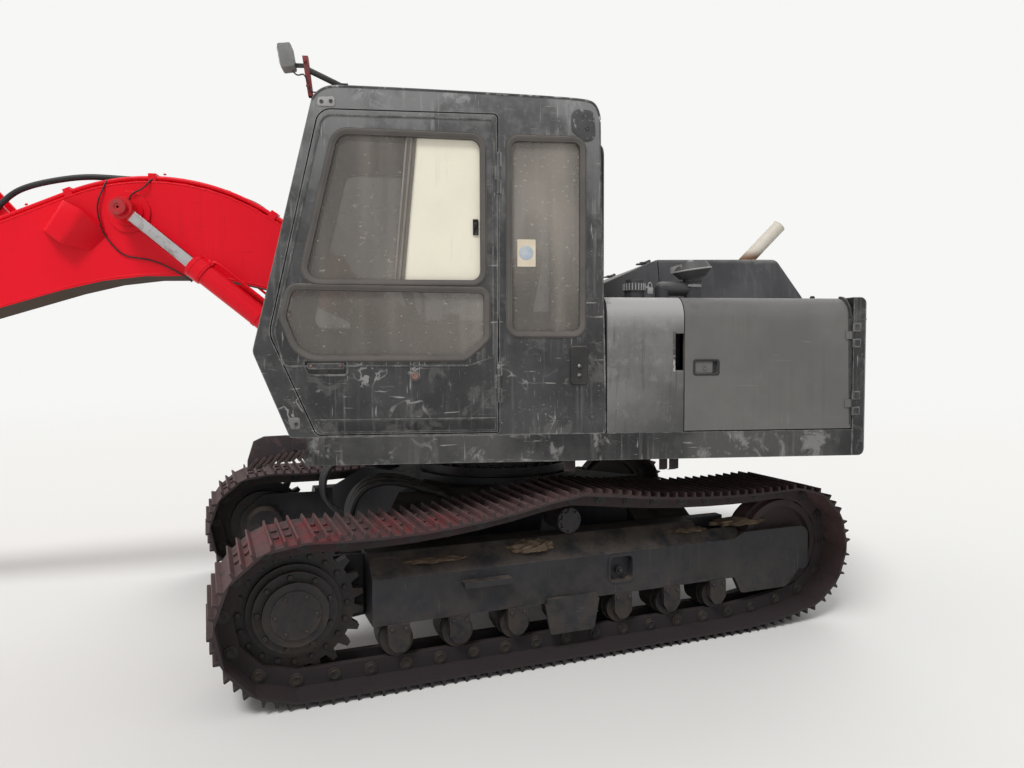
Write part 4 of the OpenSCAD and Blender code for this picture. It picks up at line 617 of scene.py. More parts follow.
roller_step = 0.305
for side_name, s in sides:
    way = (0, s, 0)
    large = bolt_ring((1.387, s * (track_y + 0.096), tip_r), 0.167, 9, way, 0.3)
    large += bolt_ring((1.387, s * (track_y + 0.028), tip_r), 0.246, 20, way)
    small = bolt_ring((0, s * (track_y + 0.095), 0.690), 0.055, 8, way)
    small += bolt_ring((1.387, s * (track_y + 0.138), tip_r), 0.092, 6, way)
    small += [standing(((i - 3) * roller_step + x, s * (track_y + 0.132), 0.256), way)
              for i in range(7) for x in (-0.034, 0.034)]
    for head, places, name in ((bolt_head(0.0135, 0.013), large, "drive"), (bolt_head(0.0095, 0.009), small, "roller")):
        settle(spread(head, [turned @ m for m in places]), f"{name}_bolts_{side_name}", "undercarriage", greasy_steel)
settle(spread(bolt_head(0.012, 0.013), bolt_ring((0, 0, 0.882), 0.463, 36, upwards)), "slew_bolts", "undercarriage",
       greasy_steel)

# Track frame fittings: a rim welded round each tension pocket, the grease valve in it, and the sand that lies on the
# sloped top of the roller frame.
valve = disc(0.020, 0.022, [(0.008, 0.0), (0.001, 0.018), (0.003, 0.003)], 12)
settle(spread(valve, [turned @ standing((-0.292, s * (track_y + 0.085), 0.40), (0, s, 0)) for s in (1, -1)]),
       "tension_valves", "undercarriage", greasy_steel)


def rounded(corners, parts=6):
    """Outline whose corners (across, up, radius) are true arcs."""
    line = []
    for i, (x, z, r) in enumerate(corners):
        p, a, b = (Vector(c[:2]) for c in (corners[i], corners[i - 1], corners[(i + 1) % len(corners)]))
        if not r:
            line.append(p)
            continue
        u, w = (a - p).normalized(), (b - p).normalized()
        half = u.angle(w) / 2
        middle = p + (u + w).normalized() * (r / math.sin(half))
        first, last = p + u * (r / math.tan(half)), p + w * (r / math.tan(half))
        line += [middle + (first.lerp(last, k / parts) - middle).normalized() * r for k in range(parts + 1)]
    return line


def boxed(x0, x1, z0, z1, r):
    """A rounded rectangle."""
    return rounded([(x0, z0, r), (x0, z1, r), (x1, z1, r), (x1, z0, r)])


def grown(line, d):
    """The same outline, moved outwards."""
    area = sum(a.x * b.y - b.x * a.y for a, b in zip(line, line[1:] + line[:1]))
    sign = 1 if area > 0 else -1
    moved = []
    for i, p in enumerate(line):
        u, w = (p - line[i - 1]).normalized(), (line[(i + 1) % len(line)] - p).normalized()
        n = (Vector((u.y, -u.x)) + Vector((w.y, -w.x))).normalized() * sign
        moved.append(p + n * d)
    return moved


def flat(line, origin, across, up):
    """A circle laid out on an outline, as one face in the plane of two directions, facing across x up."""
    sheet = start("circle", vertices=len(line), radius=1, fill_type="NGON")
    form = bmesh.from_edit_mesh(sheet.data)
    o, x, z = Vector(origin), Vector(across), Vector(up)
    for corner, p in zip(form.verts, line):
        corner.co = o + x * p[0] + z * p[1]
    form.normal_update()
    for face in form.faces:
        if face.normal.dot(x.cross(z)) < 0:
            face.normal_flip()
    bmesh.update_edit_mesh(sheet.data)
    bpy.ops.mesh.select_mode(type="FACE")
    bpy.ops.mesh.select_all(action="SELECT")
    return sheet


def modified(piece, kind, **values):
    """Adds a modifier with its values and applies it."""
    alone(piece)
    bpy.ops.object.modifier_add(type=kind)
    modifier = piece.modifiers[-1]
    for key, value in values.items():
        setattr(modifier, key, value)
    bpy.ops.object.modifier_apply(modifier=modifier.name)
    return piece


def thicken(piece, thickness, bevel=0.0, offset=1, segments=2):
    """Gives a sheet its thickness, outwards by default, and breaks its edges."""
    modified(piece, "SOLIDIFY", thickness=thickness, offset=offset)
    if bevel:
        modified(piece, "BEVEL", width=bevel, segments=segments, limit_method="ANGLE")
    return piece


def slab(line, side, thickness, bevel=0.0, offset=1, segments=2):
    """Plate cut to an outline. A side is (origin, across, up)."""
    return thicken(flat(line, *side), thickness, bevel, offset, segments)


def ring_sheet(line, side, profile):
    """A frame round an opening. The profile is (width inwards, rise) step by step, and the middle is left open."""
    sheet = flat(line, *side)
    for width, rise in profile:
        bpy.ops.mesh.inset(thickness=width, depth=rise)
    bpy.ops.mesh.delete(type="FACE")
    return sheet


def reshape(sheet, move):
    """Moves every corner of an open mesh to where the function puts it."""
    form = bmesh.from_edit_mesh(sheet.data)
    for corner in form.verts:
        corner.co = move(*corner.co)
    bmesh.update_edit_mesh(sheet.data)
    return form


for side_name, s in sides:
    side = (turned @ Vector((0, s * (track_y + 0.125), 0)), turned @ Vector((-s, 0, 0)), upwards)
    pocket = boxed(0.225 * s, 0.360 * s, 0.350, 0.478, 0.025)
    settle(thicken(ring_sheet(grown(pocket, 0.012), side, [(0.012, 0)]), 0.006, 0.002), f"pocket_rim_{side_name}",
           "undercarriage", chassis_black)


def pipe_run(points, radius, rounds=8):
    """A pipe or hose along smooth points, made a closed mesh."""
    alone()
    bpy.ops.curve.primitive_nurbs_path_add()
    line = bpy.context.object.data
    line.splines.clear()
    spline = line.splines.new("NURBS")
    spline.points.add(len(points) - 1)
    for dot, p in zip(spline.points, points):
        dot.co = (*p, 1)
    spline.order_u = 4
    spline.use_endpoint_u = True
    line.resolution_u = 5
    line.bevel_depth = radius
    line.bevel_resolution = rounds // 4 - 1
    line.use_fill_caps = True
    bpy.ops.object.convert(target="MESH")
    return bpy.context.object


def heap(x, y, z, size):
    """Loose sand: a flattened ball whose surface is pushed in and out in small lumps."""
    seed, lumps = x * 9, 0.16

    def lump(px, py, pz):
        waves = math.sin(px * 9 + seed) * math.cos(py * 7 - seed) + 0.5 * math.sin(pz * 17 + px * 13 + seed)
        return Vector((px * size[0], py * size[1], max(pz, -0.2) * size[2])) * (1 + lumps * waves)

    ball = start("ico_sphere", subdivisions=4, radius=1)
    reshape(ball, lump)
    alone()
    ball.data.transform(turned @ Matrix.Translation((x, y, z)))
    return ball


# The sand is coloured darker than dry sand, as painted shade for the heaps that lie under the house.
loose_sand = finish("loose_sand", "rusty_steel", (0.13, 0.095, 0.065), 0.95, [
    ("Clouds", (0.21, 0.155, 0.105), 0.8, 0.95), ("Patches", (0.07, 0.052, 0.038), 0.7, 0.95),
    ("Chips", (0.30, 0.26, 0.20), 0.5, 0.9)], size=3.0, bump=0.9, depth=0.004)
settle([heap(x, s * (track_y + dy), z, size) for s in (1, -1) for x, dy, z, size in (
    (0.20, 0.050, 0.556, (0.13, 0.060, 0.042)), (-1.12, 0.03, 0.572, (0.17, 0.07, 0.028)),
    (-0.75, 0.05, 0.562, (0.12, 0.05, 0.012)), (0.72, 0.06, 0.552, (0.16, 0.05, 0.013)))],
    "frame_sand", "undercarriage", loose_sand, 60)

# Travel hoses: five high-pressure hoses in black rubber that rise from the swivel and dive behind the track to the
# drive. They show between the skirt and the chain.
hose_rubber = finish("hose_rubber", "dark_plastic", (0.018, 0.018, 0.020), 0.5, [
    ("Clouds", (0.034, 0.034, 0.037), 0.8, 0.6), ("Dust", (0.20, 0.17, 0.13), 0.5, 0.9),
    ("Chips", (0.05, 0.05, 0.05), 0.6, 0.6)], size=3.0)
hoses = []
for s in (1, -1):
    for i in range(5):
        y, lift = s * (0.43 + 0.036 * i), 0.014 * (2 - abs(i - 2))
        hoses.append(pipe_run([turned @ Vector((x, y, z)) for x, z in (
            (0.42, 0.70), (0.52, 0.78), (0.62, 0.80 + lift), (0.74, 0.85 + lift), (0.86, 0.868 + lift),
            (0.97, 0.845 + lift), (1.03, 0.76), (1.045, 0.66), (1.02, 0.56), (0.93, 0.50))], 0.016, 12))
settle(hoses, "travel_hoses", "undercarriage", hose_rubber, 50)

# Window seals: brown-grey rubber profiles pressed round every pane. Each has a raised bead, and an inner lip that
# goes back to the glass. The seals of the door's windows ride with the door.
seal_rubber = finish("seal_rubber", "dark_plastic", (0.085, 0.077, 0.072), 0.65, [
    ("Clouds", (0.115, 0.103, 0.094), 0.8, 0.75), ("Dust", (0.26, 0.23, 0.19), 0.5, 0.9),
    ("Chips", (0.045, 0.042, 0.04), 0.6, 0.7)], size=3.0, edge=0.002)
house_half = 1.230
cab_right_y = 0.360
seal_profile = [(0.005, 0), (0.004, 0.006), (0.009, 0.0), (0.004, -0.004), (0.006, 0), (0.001, -0.018)]
seal_reach = 0.024


def wall(y, x=-1):
    """The side that stands at this y. The left sides look to the left, with across to the rear."""
    return (0, y, 0), (x, 0, 0), upwards


left_side, right_side = wall(house_half), wall(cab_right_y, 1)
rear_side = ((-0.438, 0, 0), (0, -1, 0), upwards)
upper_window = rounded([(0.176, 1.910, 0.050), (0.176, 2.594, 0.050), (0.858, 2.604, 0.070), (1.024, 1.910, 0.060)])
lower_window = rounded([(0.160, 1.862, 0.030), (0.160, 1.640, 0.030), (0.262, 1.547, 0.060), (1.040, 1.547, 0.130),
                        (1.112, 1.740, 0.060), (1.078, 1.875, 0.040)])
quarter_window = boxed(0.036, -0.312, 1.662, 2.594, 0.040)
right_window = rounded([(-0.300, 1.700, 0.050), (-0.300, 2.594, 0.050), (0.900, 2.594, 0.060), (1.110, 1.700, 0.060)])
rear_window = rounded([(0.470, 1.900, 0.050), (1.120, 1.900, 0.050), (1.120, 2.594, 0.050), (0.470, 2.594, 0.050)])
foot, bend, brow = Vector((1.093, 1.165)), Vector((1.260, 1.575)), Vector((0.965, 2.780))


def slanted(low, high):
    """The side of a front pane: origin at its lower end, across to the driver's left, up along the slope."""
    rise = (high - low).normalized()
    return (low.x, 0, low.y), leftward, (rise.x, 0, rise.y)


screen = rounded([(0.425, 0.090, 0.0), (1.155, 0.090, 0.0), (1.155, 1.130, 0.0), (0.425, 1.130, 0.0)])
lower_screen = rounded([(0.425, 0.110, 0.0), (1.155, 0.110, 0.0), (1.155, 0.340, 0.0), (0.425, 0.340, 0.0)])


def on_plane(line, side):
    """The outline in the side's own across direction."""
    return [Vector((p.x * (side[1][0] or side[1][1]), p.y)) for p in line]


for name, line, side, body in (
        ("door_upper_seal", upper_window, left_side, "cab_door"),
        ("door_lower_seal", lower_window, left_side, "cab_door"),
        ("quarter_seal", quarter_window, left_side, "house"), ("right_window_seal", right_window, right_side, "house"),
        ("rear_window_seal", rear_window, rear_side, "house"), ("screen_seal", screen, slanted(bend, brow), "house"),
        ("lower_screen_seal", lower_screen, slanted(foot, bend), "house")):
    seal = ring_sheet(grown(on_plane(line, side), seal_reach), side, seal_profile)
    settle(thicken(seal, 0.0035), name, body, seal_rubber, 50)

# Sliding pane's rear edge: a dull aluminium channel that leans with the split, then the cream panel behind it with
# its small sliding catch.
channel_grey = finish("channel_grey", "dark_plastic", (0.20, 0.18, 0.16), 0.5, [
    ("Clouds", (0.26, 0.235, 0.21), 0.8, 0.6), ("Chips", (0.10, 0.09, 0.08), 0.7, 0.7),
    ("Edges", (0.34, 0.32, 0.30), 0.6, 0.5)], size=3.0, edge=0.002, Metallic=0.3)


def corners_of(*places):
    """Plain points from rows of two or three numbers."""
    return [Vector(p) for p in places]


def pressed(line, side, steps, thickness, bevel=0.0):
    """A sheet whose middle is pressed in or out, step by step."""
    sheet = flat(line, *side)
    for width, rise in steps:
        bpy.ops.mesh.inset(thickness=width, depth=rise)
    return thicken(sheet, thickness, bevel)


channel_line = corners_of((-0.568, 1.905), (-0.600, 1.905), (-0.535, 2.600), (-0.502, 2.600))
channel = pressed(channel_line, wall(1.212), [(0.007, 0), (0.001, -0.004)], 0.008, 0.0015)
settle(channel, "pane_channel", "cab_door", channel_grey)
catch = stepped(start("cube", size=1, location=(0.205, 1.2135, 2.173), scale=(0.026, 0.009, 0.076)),
                [(0.005, 0), (0.002, -0.004)], facing(leftward))
soften(catch, 0.0012)
slider = stepped(start("cube", size=1, location=(0.205, 1.2165, 2.182), scale=(0.014, 0.012, 0.022)), [(0.003, 0.002)],
                 facing(leftward))
settle([catch, slider], "panel_catch", "cab_door", greasy_steel)

# Door skin: a kick plate folded in at the bottom, a raised band round the windows, and the fold lines of the press.
# All are thin sheet steel, welded to the door and painted black with it.
def plate(line, side, thickness, bevel=0.0015):
    """Plate on a side, from an outline in the frame's own x or y."""
    return slab(on_plane(line, side), side, thickness, bevel)


kick = rounded([(0.112, 1.188, 0.008), (0.112, 1.246, 0.008), (0.966, 1.246, 0.008), (0.948, 1.188, 0.020)])
settle(plate(kick, left_side, 0.004), "door_kick_plate", "cab_door", house_black)
ridge = rounded([(0.112, 1.246, 0.0), (0.112, 1.252, 0.0), (0.976, 1.252, 0.0), (0.973, 1.246, 0.0)])
settle(plate(ridge, left_side, 0.008, 0.002), "door_fold", "cab_door", skirt_black)
band = rounded([(0.118, 1.540, 0.020), (0.118, 2.688, 0.020), (0.925, 2.688, 0.060), (1.160, 1.668, 0.100),
                (1.120, 1.500, 0.040), (0.240, 1.500, 0.040)])
border = ring_sheet(on_plane(band, left_side), left_side, [(0.009, 0.0)])
settle(thicken(border, 0.004, 0.0018), "door_border", "cab_door", house_black)

# Door handle fittings: the lock cylinder, the grip's two rivets and the finger lip round its recess. The lip is
# pressed out of the black skin. Lock and rivets are bare steel that has rusted.
def on_left(out, *places):
    """Places on the house's left face, this far out. A place is (x, z)."""
    return [standing((x, house_half + out, z), leftward) for x, z in places]


lock_rust = finish("lock_rust", "rusty_steel", (0.16, 0.09, 0.075), 0.7, [
    ("Clouds", (0.26, 0.15, 0.12), 0.9, 0.8), ("Chips", (0.5, 0.42, 0.36), 0.6, 0.6)], size=8.0)
settle(spread(disc(0.017, 0.008, [(0.005, 0.003), (0.004, -0.003)]), on_left(0.008, (0.502, 1.455))), "door_lock",
       "cab_door", lock_rust)
recess = rounded([(0.825, 1.466, 0.012), (0.825, 1.530, 0.012), (1.026, 1.530, 0.012), (1.000, 1.466, 0.012)])
lip = ring_sheet(grown(on_plane(recess, left_side), 0.008), left_side, [(0.003, 0.003), (0.005, 0)])
settle(thicken(lip, 0.002), "handle_lip", "cab_door", skirt_black)
rivet = start("uv_sphere", segments=12, ring_count=6, radius=0.007)
pick(rivet, lambda face: face.calc_center_median().z < -0.001)
bpy.ops.mesh.delete(type="FACE")
bpy.ops.mesh.select_mode(type="EDGE")
bpy.ops.mesh.select_non_manifold()
bpy.ops.mesh.edge_face_add()
settle(spread(rivet, on_left(0.006, (0.852, 1.506), (0.990, 1.506))), "handle_rivets", "cab_door", lock_rust)

# Cab corner fittings: the gutter bead along the roof's edge, the folded plate at the brow, and the seam down the
# rear pillar. The bead is hammered and scraped bright.
bead_scraped = finish("bead_scraped", "black_paint", (0.05, 0.05, 0.052), 0.5, [
    ("Clouds", (0.10, 0.095, 0.10), 0.8, 0.5), ("Patches", (0.44, 0.42, 0.42), 0.8, 0.55),
    ("Chips", (0.5, 0.48, 0.48), 0.9, 0.6)], size=2.4, bump=0.6, depth=0.002)
roof_line = ((0.968, 2.752), (0.945, 2.790), (0.900, 2.812), (0.860, 2.818), (0.500, 2.814), (0.086, 2.806),
             (-0.330, 2.796), (-0.376, 2.780), (-0.396, 2.745), (-0.404, 2.700))
pillar_line = ((-0.404, 2.690), (-0.408, 2.40), (-0.418, 2.0), (-0.432, 1.5), (-0.436, 1.18))
for name, line, radius, paint in (("roof_gutter", roof_line, 0.006, bead_scraped),
                                  ("pillar_seams", pillar_line, 0.004, skirt_black)):
    settle([pipe_run([(x, house_half - 0.001, z) for x, z in line], radius),
            pipe_run([(x, cab_right_y + 0.001, z) for x, z in line], radius)], name, "house", paint, 50)
brow_plate = rounded([(0.864, 2.722, 0.012), (0.864, 2.768, 0.012), (0.940, 2.764, 0.012), (0.948, 2.722, 0.012)])
front_pillar = rounded([(1.046, 1.206, 0.010), (1.046, 1.262, 0.010), (1.104, 1.262, 0.010), (1.086, 1.206, 0.010)])
settle([plate(brow_plate, left_side, 0.004), plate(front_pillar, left_side, 0.003)], "pillar_plates", "house",
       panel_black)
screws = on_left(0.001, (0.925, 2.742), (0.882, 2.745), (1.063, 1.232), (-0.315, 2.713), (-0.339, 2.655),
                 (-0.367, 1.247))
settle(spread(disc(0.009, 0.006, [(0.003, 0.001), (0.002, -0.003)], 16), screws), "cab_screws", "house", bead_scraped)

# Latch plate bolted on behind the door, and the dented patch at the top rear corner of the cab. Both are thin sheet
# steel in black paint, and the patch is scraped bright.
latch_line = rounded([(-0.258, 1.408, 0.016), (-0.258, 1.596, 0.016), (-0.346, 1.596, 0.016), (-0.340, 1.408, 0.016)])
latch = pressed(on_plane(latch_line, left_side), left_side, [(0.004, 0.009), (0.010, -0.002)], 0.003)
settle(latch, "rear_latch_plate", "house", inside_black)
dent_line = rounded([(-0.262, 2.640, 0.030), (-0.262, 2.750, 0.040), (-0.372, 2.740, 0.030), (-0.384, 2.600, 0.040),
                     (-0.330, 2.590, 0.030)])
dent = pressed(on_plane(dent_line, left_side), left_side, [(0.012, 0.004), (0.014, -0.003)], 0.002)
settle(dent, "corner_patch", "house", bead_scraped, 60)
knobs = on_left(0.007, (-0.300, 1.457), (-0.302, 1.500)) + on_left(0, (-0.367, 1.247))
settle(spread(bolt_head(0.011, 0.012), knobs), "latch_bolts", "house", bead_scraped)

# Blank sticker of cream paper with a plain blue-grey disc. It is glued to the inside of the rear quarter pane and
# shows through the glass.
paper = finish("paper", "cream_paint", (0.62, 0.54, 0.42), 0.8, [
    ("Clouds", (0.70, 0.62, 0.50), 0.8, 0.8), ("Chips", (0.45, 0.38, 0.28), 0.5, 0.9)], size=6.0)
disc_blue = finish("disc_blue", "cream_paint", (0.36, 0.41, 0.47), 0.7, [
    ("Clouds", (0.50, 0.54, 0.58), 0.8, 0.7), ("Chips", (0.25, 0.3, 0.36), 0.5, 0.8)], size=9.0)
sheet = boxed(0.002, -0.088, 1.986, 2.118, 0.004)
settle(plate(sheet, wall(1.2135), 0.0006, 0.0), "blank_sticker", "house", paper)
spot = disc(0.035, 0.0008, [(0.004, 0.0004), (0.004, -0.0004)], 32)
settle(spread(spot, [standing((-0.042, 1.2141, 2.052), leftward)]), "blank_disc", "house", disc_blue)

# Engine door latches: a pressed paddle in each recess with its keyhole, and the raised rim pressed round the recess.
# A black rubber seal lies along the rear edge of each door.
# The grip slot beside the left door has a folded, worn-bright lip.
for side_name, s in sides:
    side, body = wall(s * house_half, -s), f"{side_name}_engine_door"
    paddle_line = rounded([(-0.897, 1.462, 0.006), (-0.897, 1.518, 0.006), (-0.984, 1.518, 0.004),
                           (-0.984, 1.462, 0.004)])
    paddle = pressed(on_plane(paddle_line, side), wall(s * (house_half - 0.014), -s), [(0.002, 0.003)], 0.007, 0.001)
    keyhole = spread(disc(0.011, 0.004, [(0.003, 0), (0.001, -0.003)], 20),
                     [standing((-0.945, s * (house_half - 0.004), 1.487), (0, s, 0))])
    settle([paddle, keyhole], f"latch_paddle_{side_name}", body, door_grey)
    bed = plate(boxed(-0.890, -1.014, 1.456, 1.524, 0.004), wall(s * (house_half - 0.0135), -s), 0.001, 0.0003)
    settle(bed, f"latch_bed_{side_name}", body, inside_black)
    strip_line = ((-1.7285, 1.190), (-1.7285, 1.752), (-1.7040, 1.752), (-1.7180, 1.190))
    strip = plate(rounded([(*p, 0.003) for p in strip_line]), side, 0.0012, 0.0004)
    bent = [(-1.716, s * (house_half + 0.001 - 0.105 * (1 - math.cos(a))), 1.742 + 0.105 * math.sin(a))
            for a in (k * math.pi / 20 for k in range(11))]
    settle([strip, pipe_run(bent, 0.009)], f"door_edge_seal_{side_name}", body, inside_black, 50)
    rim = ring_sheet(on_plane(boxed(-0.884, -1.021, 1.449, 1.531, 0.014), side), side,
                     [(0.003, 0.0025), (0.004, 0), (0.003, -0.0025)])
    settle(thicken(rim, 0.0015), f"latch_rim_{side_name}", body, inside_black, 50)
slot_lip = rounded([(-0.780, 1.468, 0.004), (-0.780, 1.667, 0.004), (-0.791, 1.667, 0.0), (-0.791, 1.468, 0.0)])
settle(plate(slot_lip, left_side, 0.004), "grip_slot_lip", "house", bead_scraped)

# Louvres of the right engine door: air slots pressed out of the sheet, each a hooded fold. They wear the door's own
# grey paint.
louvre = start("cube", size=1, location=(0, 0, 0.007), scale=(0.30, 0.034, 0.014))
pick(louvre, lambda edge: all(v.co.z > 0.01 and v.co.y > 0 for v in edge.verts), "EDGE")
bpy.ops.transform.translate(value=(0, -0.024, 0))
soften(louvre, 0.004, 2, lambda edge: all(v.co.z > 0.01 for v in edge.verts))
places = [Matrix.Translation((x, -house_half, z)) @ Matrix.Rotation(math.radians(90), 4, "X")
          for x in (-1.50, -1.14) for z in (1.25 + 0.06 * i for i in range(7)) if not (x > -1.2 and 1.40 < z < 1.58)]
settle(spread(louvre, places), "door_louvres", "right_engine_door", door_grey)

# Filler cap: cast ring with finger ribs, and a hasp with the padlock that holds it shut. All of it was brushed over
# with the black of the side panel.
def cap_ribs(centre, radius, low, high):
    """Finger ribs round a cap."""
    count = 22
    rib = block((0.008, 0.007, high - low), 0.0025, (radius, 0, (low + high) / 2),
                test=lambda edge: upright(edge) and edge.verts[0].co.x > radius)
    turns = (Matrix.Rotation(2 * math.pi * i / count, 4, "Z") for i in range(count))
    return spread(rib, [Matrix.Translation(centre) @ turn for turn in turns])


filler = Vector((-0.662, 0.930, 0))
ribs = cap_ribs(filler, 0.058, 1.894, 1.930)
hasp = block((0.030, 0.026, 0.010), 0.003, filler + Vector((-0.070, 0.006, 1.910)))
padlock = block((0.032, 0.018, 0.036), 0.005, filler + Vector((-0.084, 0.010, 1.892)))
shackle = pipe_run([filler + Vector((x, 0.010, z)) for x, z in (
    (-0.073, 1.905), (-0.073, 1.925), (-0.078, 1.935), (-0.084, 1.938), (-0.090, 1.935), (-0.095, 1.925),
    (-0.095, 1.905))], 0.003)
settle([ribs, hasp, padlock, shackle], "filler_cap_fittings", "house", panel_black)

# Air intake: clamp band with its screw on the stem, the rolled hem of the rain hood, and the torn flap at its front.
# Thin sheet steel, clamped and rolled, in the paint of the side panel.
def ring_of(centre, way, inner, outer, depth, vertices=40):
    """A turned ring: a disc opened in the middle and given its thickness."""
    ring = start("circle", vertices=vertices, radius=outer, fill_type="NGON")
    bpy.ops.mesh.inset(thickness=outer - inner)
    bpy.ops.mesh.delete(type="FACE")
    return spread(thicken(ring, depth, min(0.002, depth / 4)), [standing(centre, way)])


intake = Vector((-0.985, 0.930, 0))
clamp = ring_of(intake + Vector((0, 0, 1.912)), upwards, 0.043, 0.047, 0.016)
screw_block = block((0.020, 0.014, 0.012), 0.003, intake + Vector((0.030, 0.040, 1.920)), 1)
tilt = Matrix.Translation(intake + Vector((0, 0, 1.965))) @ Matrix.Rotation(math.radians(8), 4, "Y")
hem = ring_of((0, 0, 0), upwards, 0.1045, 0.1075, 0.008)
hem.data.transform(Matrix.Translation((0, 0, 0.036)))
button = disc(0.016, 0.010, [(0.005, 0.005)], 20, 0.087)
flap = start("grid", x_subdivisions=10, y_subdivisions=3, size=1)


def torn(x, y, _):
    u = x + 0.5
    angle = math.radians(-35 + 75 * u)
    return Vector((0.100 * math.cos(angle) + 0.012 * math.sin(u * 6), 0.100 * math.sin(angle),
                   0.052 + 0.034 * y + 0.016 * u * abs(y)))


reshape(flap, torn)
flap = thicken(flap, 0.002)
for piece in (hem, button, flap):
    piece.data.transform(tilt)
settle([clamp, screw_block, hem, button, flap], "intake_fittings", "house", panel_black, 50)

# Exhaust: the pipe's mouth is turned over to a thin rim, and four bolts hold its foot on the hood. The hood's own
# bolts and the two stops that it rests on are plain steel, dark with grease.
exhaust_foot = Vector((-1.493, 0.420, 2.1053))
exhaust_lean = math.radians(44.3)
exhaust_way = Vector((-math.sin(exhaust_lean), 0, math.cos(exhaust_lean)))
rim = ring_of(exhaust_foot + exhaust_way * 0.316, exhaust_way, 0.0365, 0.0402, 0.004)
foot_bolts = shifted(*(exhaust_foot + Vector((0.068 * math.cos(a), 0.068 * math.sin(a), 0.012))
                       for a in (0.9, 2.2, 3.9, 5.4)))
settle([rim, spread(bolt_head(0.009, 0.008), foot_bolts)], "exhaust_fittings", "engine_hood", exhaust_cream, 50)
hood_bolts = [standing((x, s * 0.6985, 1.866), (0, s, 0.05)) for s in (1, -1) for x in (-1.542, -1.20)]
settle(spread(bolt_head(0.011, 0.010), hood_bolts), "hood_bolts", "engine_hood", greasy_steel)
stops = shifted((-1.668, 0.93, 1.845), (-1.668, -0.93, 1.845))
settle(spread(disc(0.013, 0.020, [(0.004, 0.005)], 16), stops), "hood_stops", "house", greasy_steel)

# Hood handle: bent round bar of steel on the lifting edge at the rear. Its two feet are welded to the hood and were
# painted with it.
handle = pipe_run([(-1.62, 0.09, 2.045), (-1.645, 0.09, 2.075), (-1.660, 0.075, 2.09), (-1.660, 0, 2.09),
                   (-1.660, -0.075, 2.09), (-1.645, -0.09, 2.075), (-1.62, -0.09, 2.045)], 0.008)
settle(handle, "hood_handle", "engine_hood", panel_black, 50)

# Counterweight: one iron casting. Two hexagon bolts in cast collars hold it at the tail, and the mould's parting line
# runs round it below the top.
tail_r = 2.180
tail_x = -1.735 - 0.065 + math.sqrt(tail_r ** 2 - house_half ** 2)


def on_tail(y, z, out=0.0):
    """A point on the tail's round face and the way that the face looks there."""
    way = Vector((-math.sqrt(tail_r ** 2 - y * y), y, 0)).normalized()
    return Vector((tail_x, 0, z)) + way * (tail_r + out), way


spots = [standing(*on_tail(y, 1.30)) for y in (-0.62, 0.62)]
collar = disc(0.062, 0.020, [(0.012, 0.004), (0.012, -0.008)], 32, 0.004)
settle([spread(collar, spots), spread(bolt_head(0.030, 0.020), spots)], "tail_bolts", "house", panel_black)
settle(pipe_run([on_tail(y / 100, 1.735, -0.002)[0] for y in range(-118, 119, 4)], 0.005), "tail_casting_line", "house",
       panel_black, 50)

# Front step: a serrated tread of bare rusty steel, bolted to the deck's front corner. It is bent down and forwards,
# and flat bars are welded across it.
tread_rust = finish("tread_rust", "rusty_steel", (0.022, 0.016, 0.018), 0.8, [
    ("Clouds", (0.045, 0.030, 0.032), 0.8, 0.85), ("Edges", (0.22, 0.14, 0.12), 0.8, 0.6),
    ("Patches", (0.10, 0.06, 0.05), 0.4, 0.9)], size=2.5, edge=0.003, edge_break=0.3, bump=0.6, depth=0.002)
tread_line = corners_of((-1.018, 1.118), (-1.030, 1.166), (-1.110, 1.176), (-1.215, 1.172), (-1.262, 1.150),
                        (-1.290, 1.060))
tread_line += [Vector((-1.292 + 0.262 * i / 12, 1.030 + 0.050 * i / 12 - 0.018 * (i % 2) + 0.008 * math.sin(i * 2.1)))
               for i in range(13)]
tread = pressed(tread_line, wall(house_half - 0.012), [(0.006, 0.004)], 0.005, 0.001)
bar_turn = Matrix.Rotation(math.radians(-42), 4, "Y")
bars = spread(block((0.015, 0.034, 0.066), 0.003, segments=1), [
    m @ bar_turn for m in shifted(*((1.262 - 0.033 * i, house_half - 0.004, 1.044 + 0.006 * i) for i in range(8)))])
lug = plate(boxed(1.020, 1.085, 1.110, 1.162, 0.006), left_side, 0.006)
settle([tread, bars, lug], "front_tread", "house", tread_rust)

# Rusty brackets that hang from the left skirt's lower edge. They are bent flat bar, welded on, and were left over from
# a lost side guard.
tab = start("cube", size=1, location=(0, 0, -0.030), scale=(0.060, 0.006, 0.075))
pick(tab, facing(downwards))


def raised(move, size):
    """Draws the chosen faces out by a way and scales them."""
    bpy.ops.mesh.extrude_region_move(TRANSFORM_OT_translate={"value": move})
    bpy.ops.transform.resize(value=size)


raised((0.006, -0.022, -0.008), (0.7, 1, 1))
soften(tab, 0.0015)
tab_places = [Matrix.Translation((x, 1.190, 1.042)) @ Matrix.Rotation(math.radians(a), 4, "Z")
              @ Matrix.Scale(w, 4, forward) for x, a, w in ((-0.262, 8, 1.0), (-0.745, -6, 0.7), (-0.800, 14, 0.9))]
settle(spread(tab, tab_places), "skirt_brackets", "house", tread_rust)

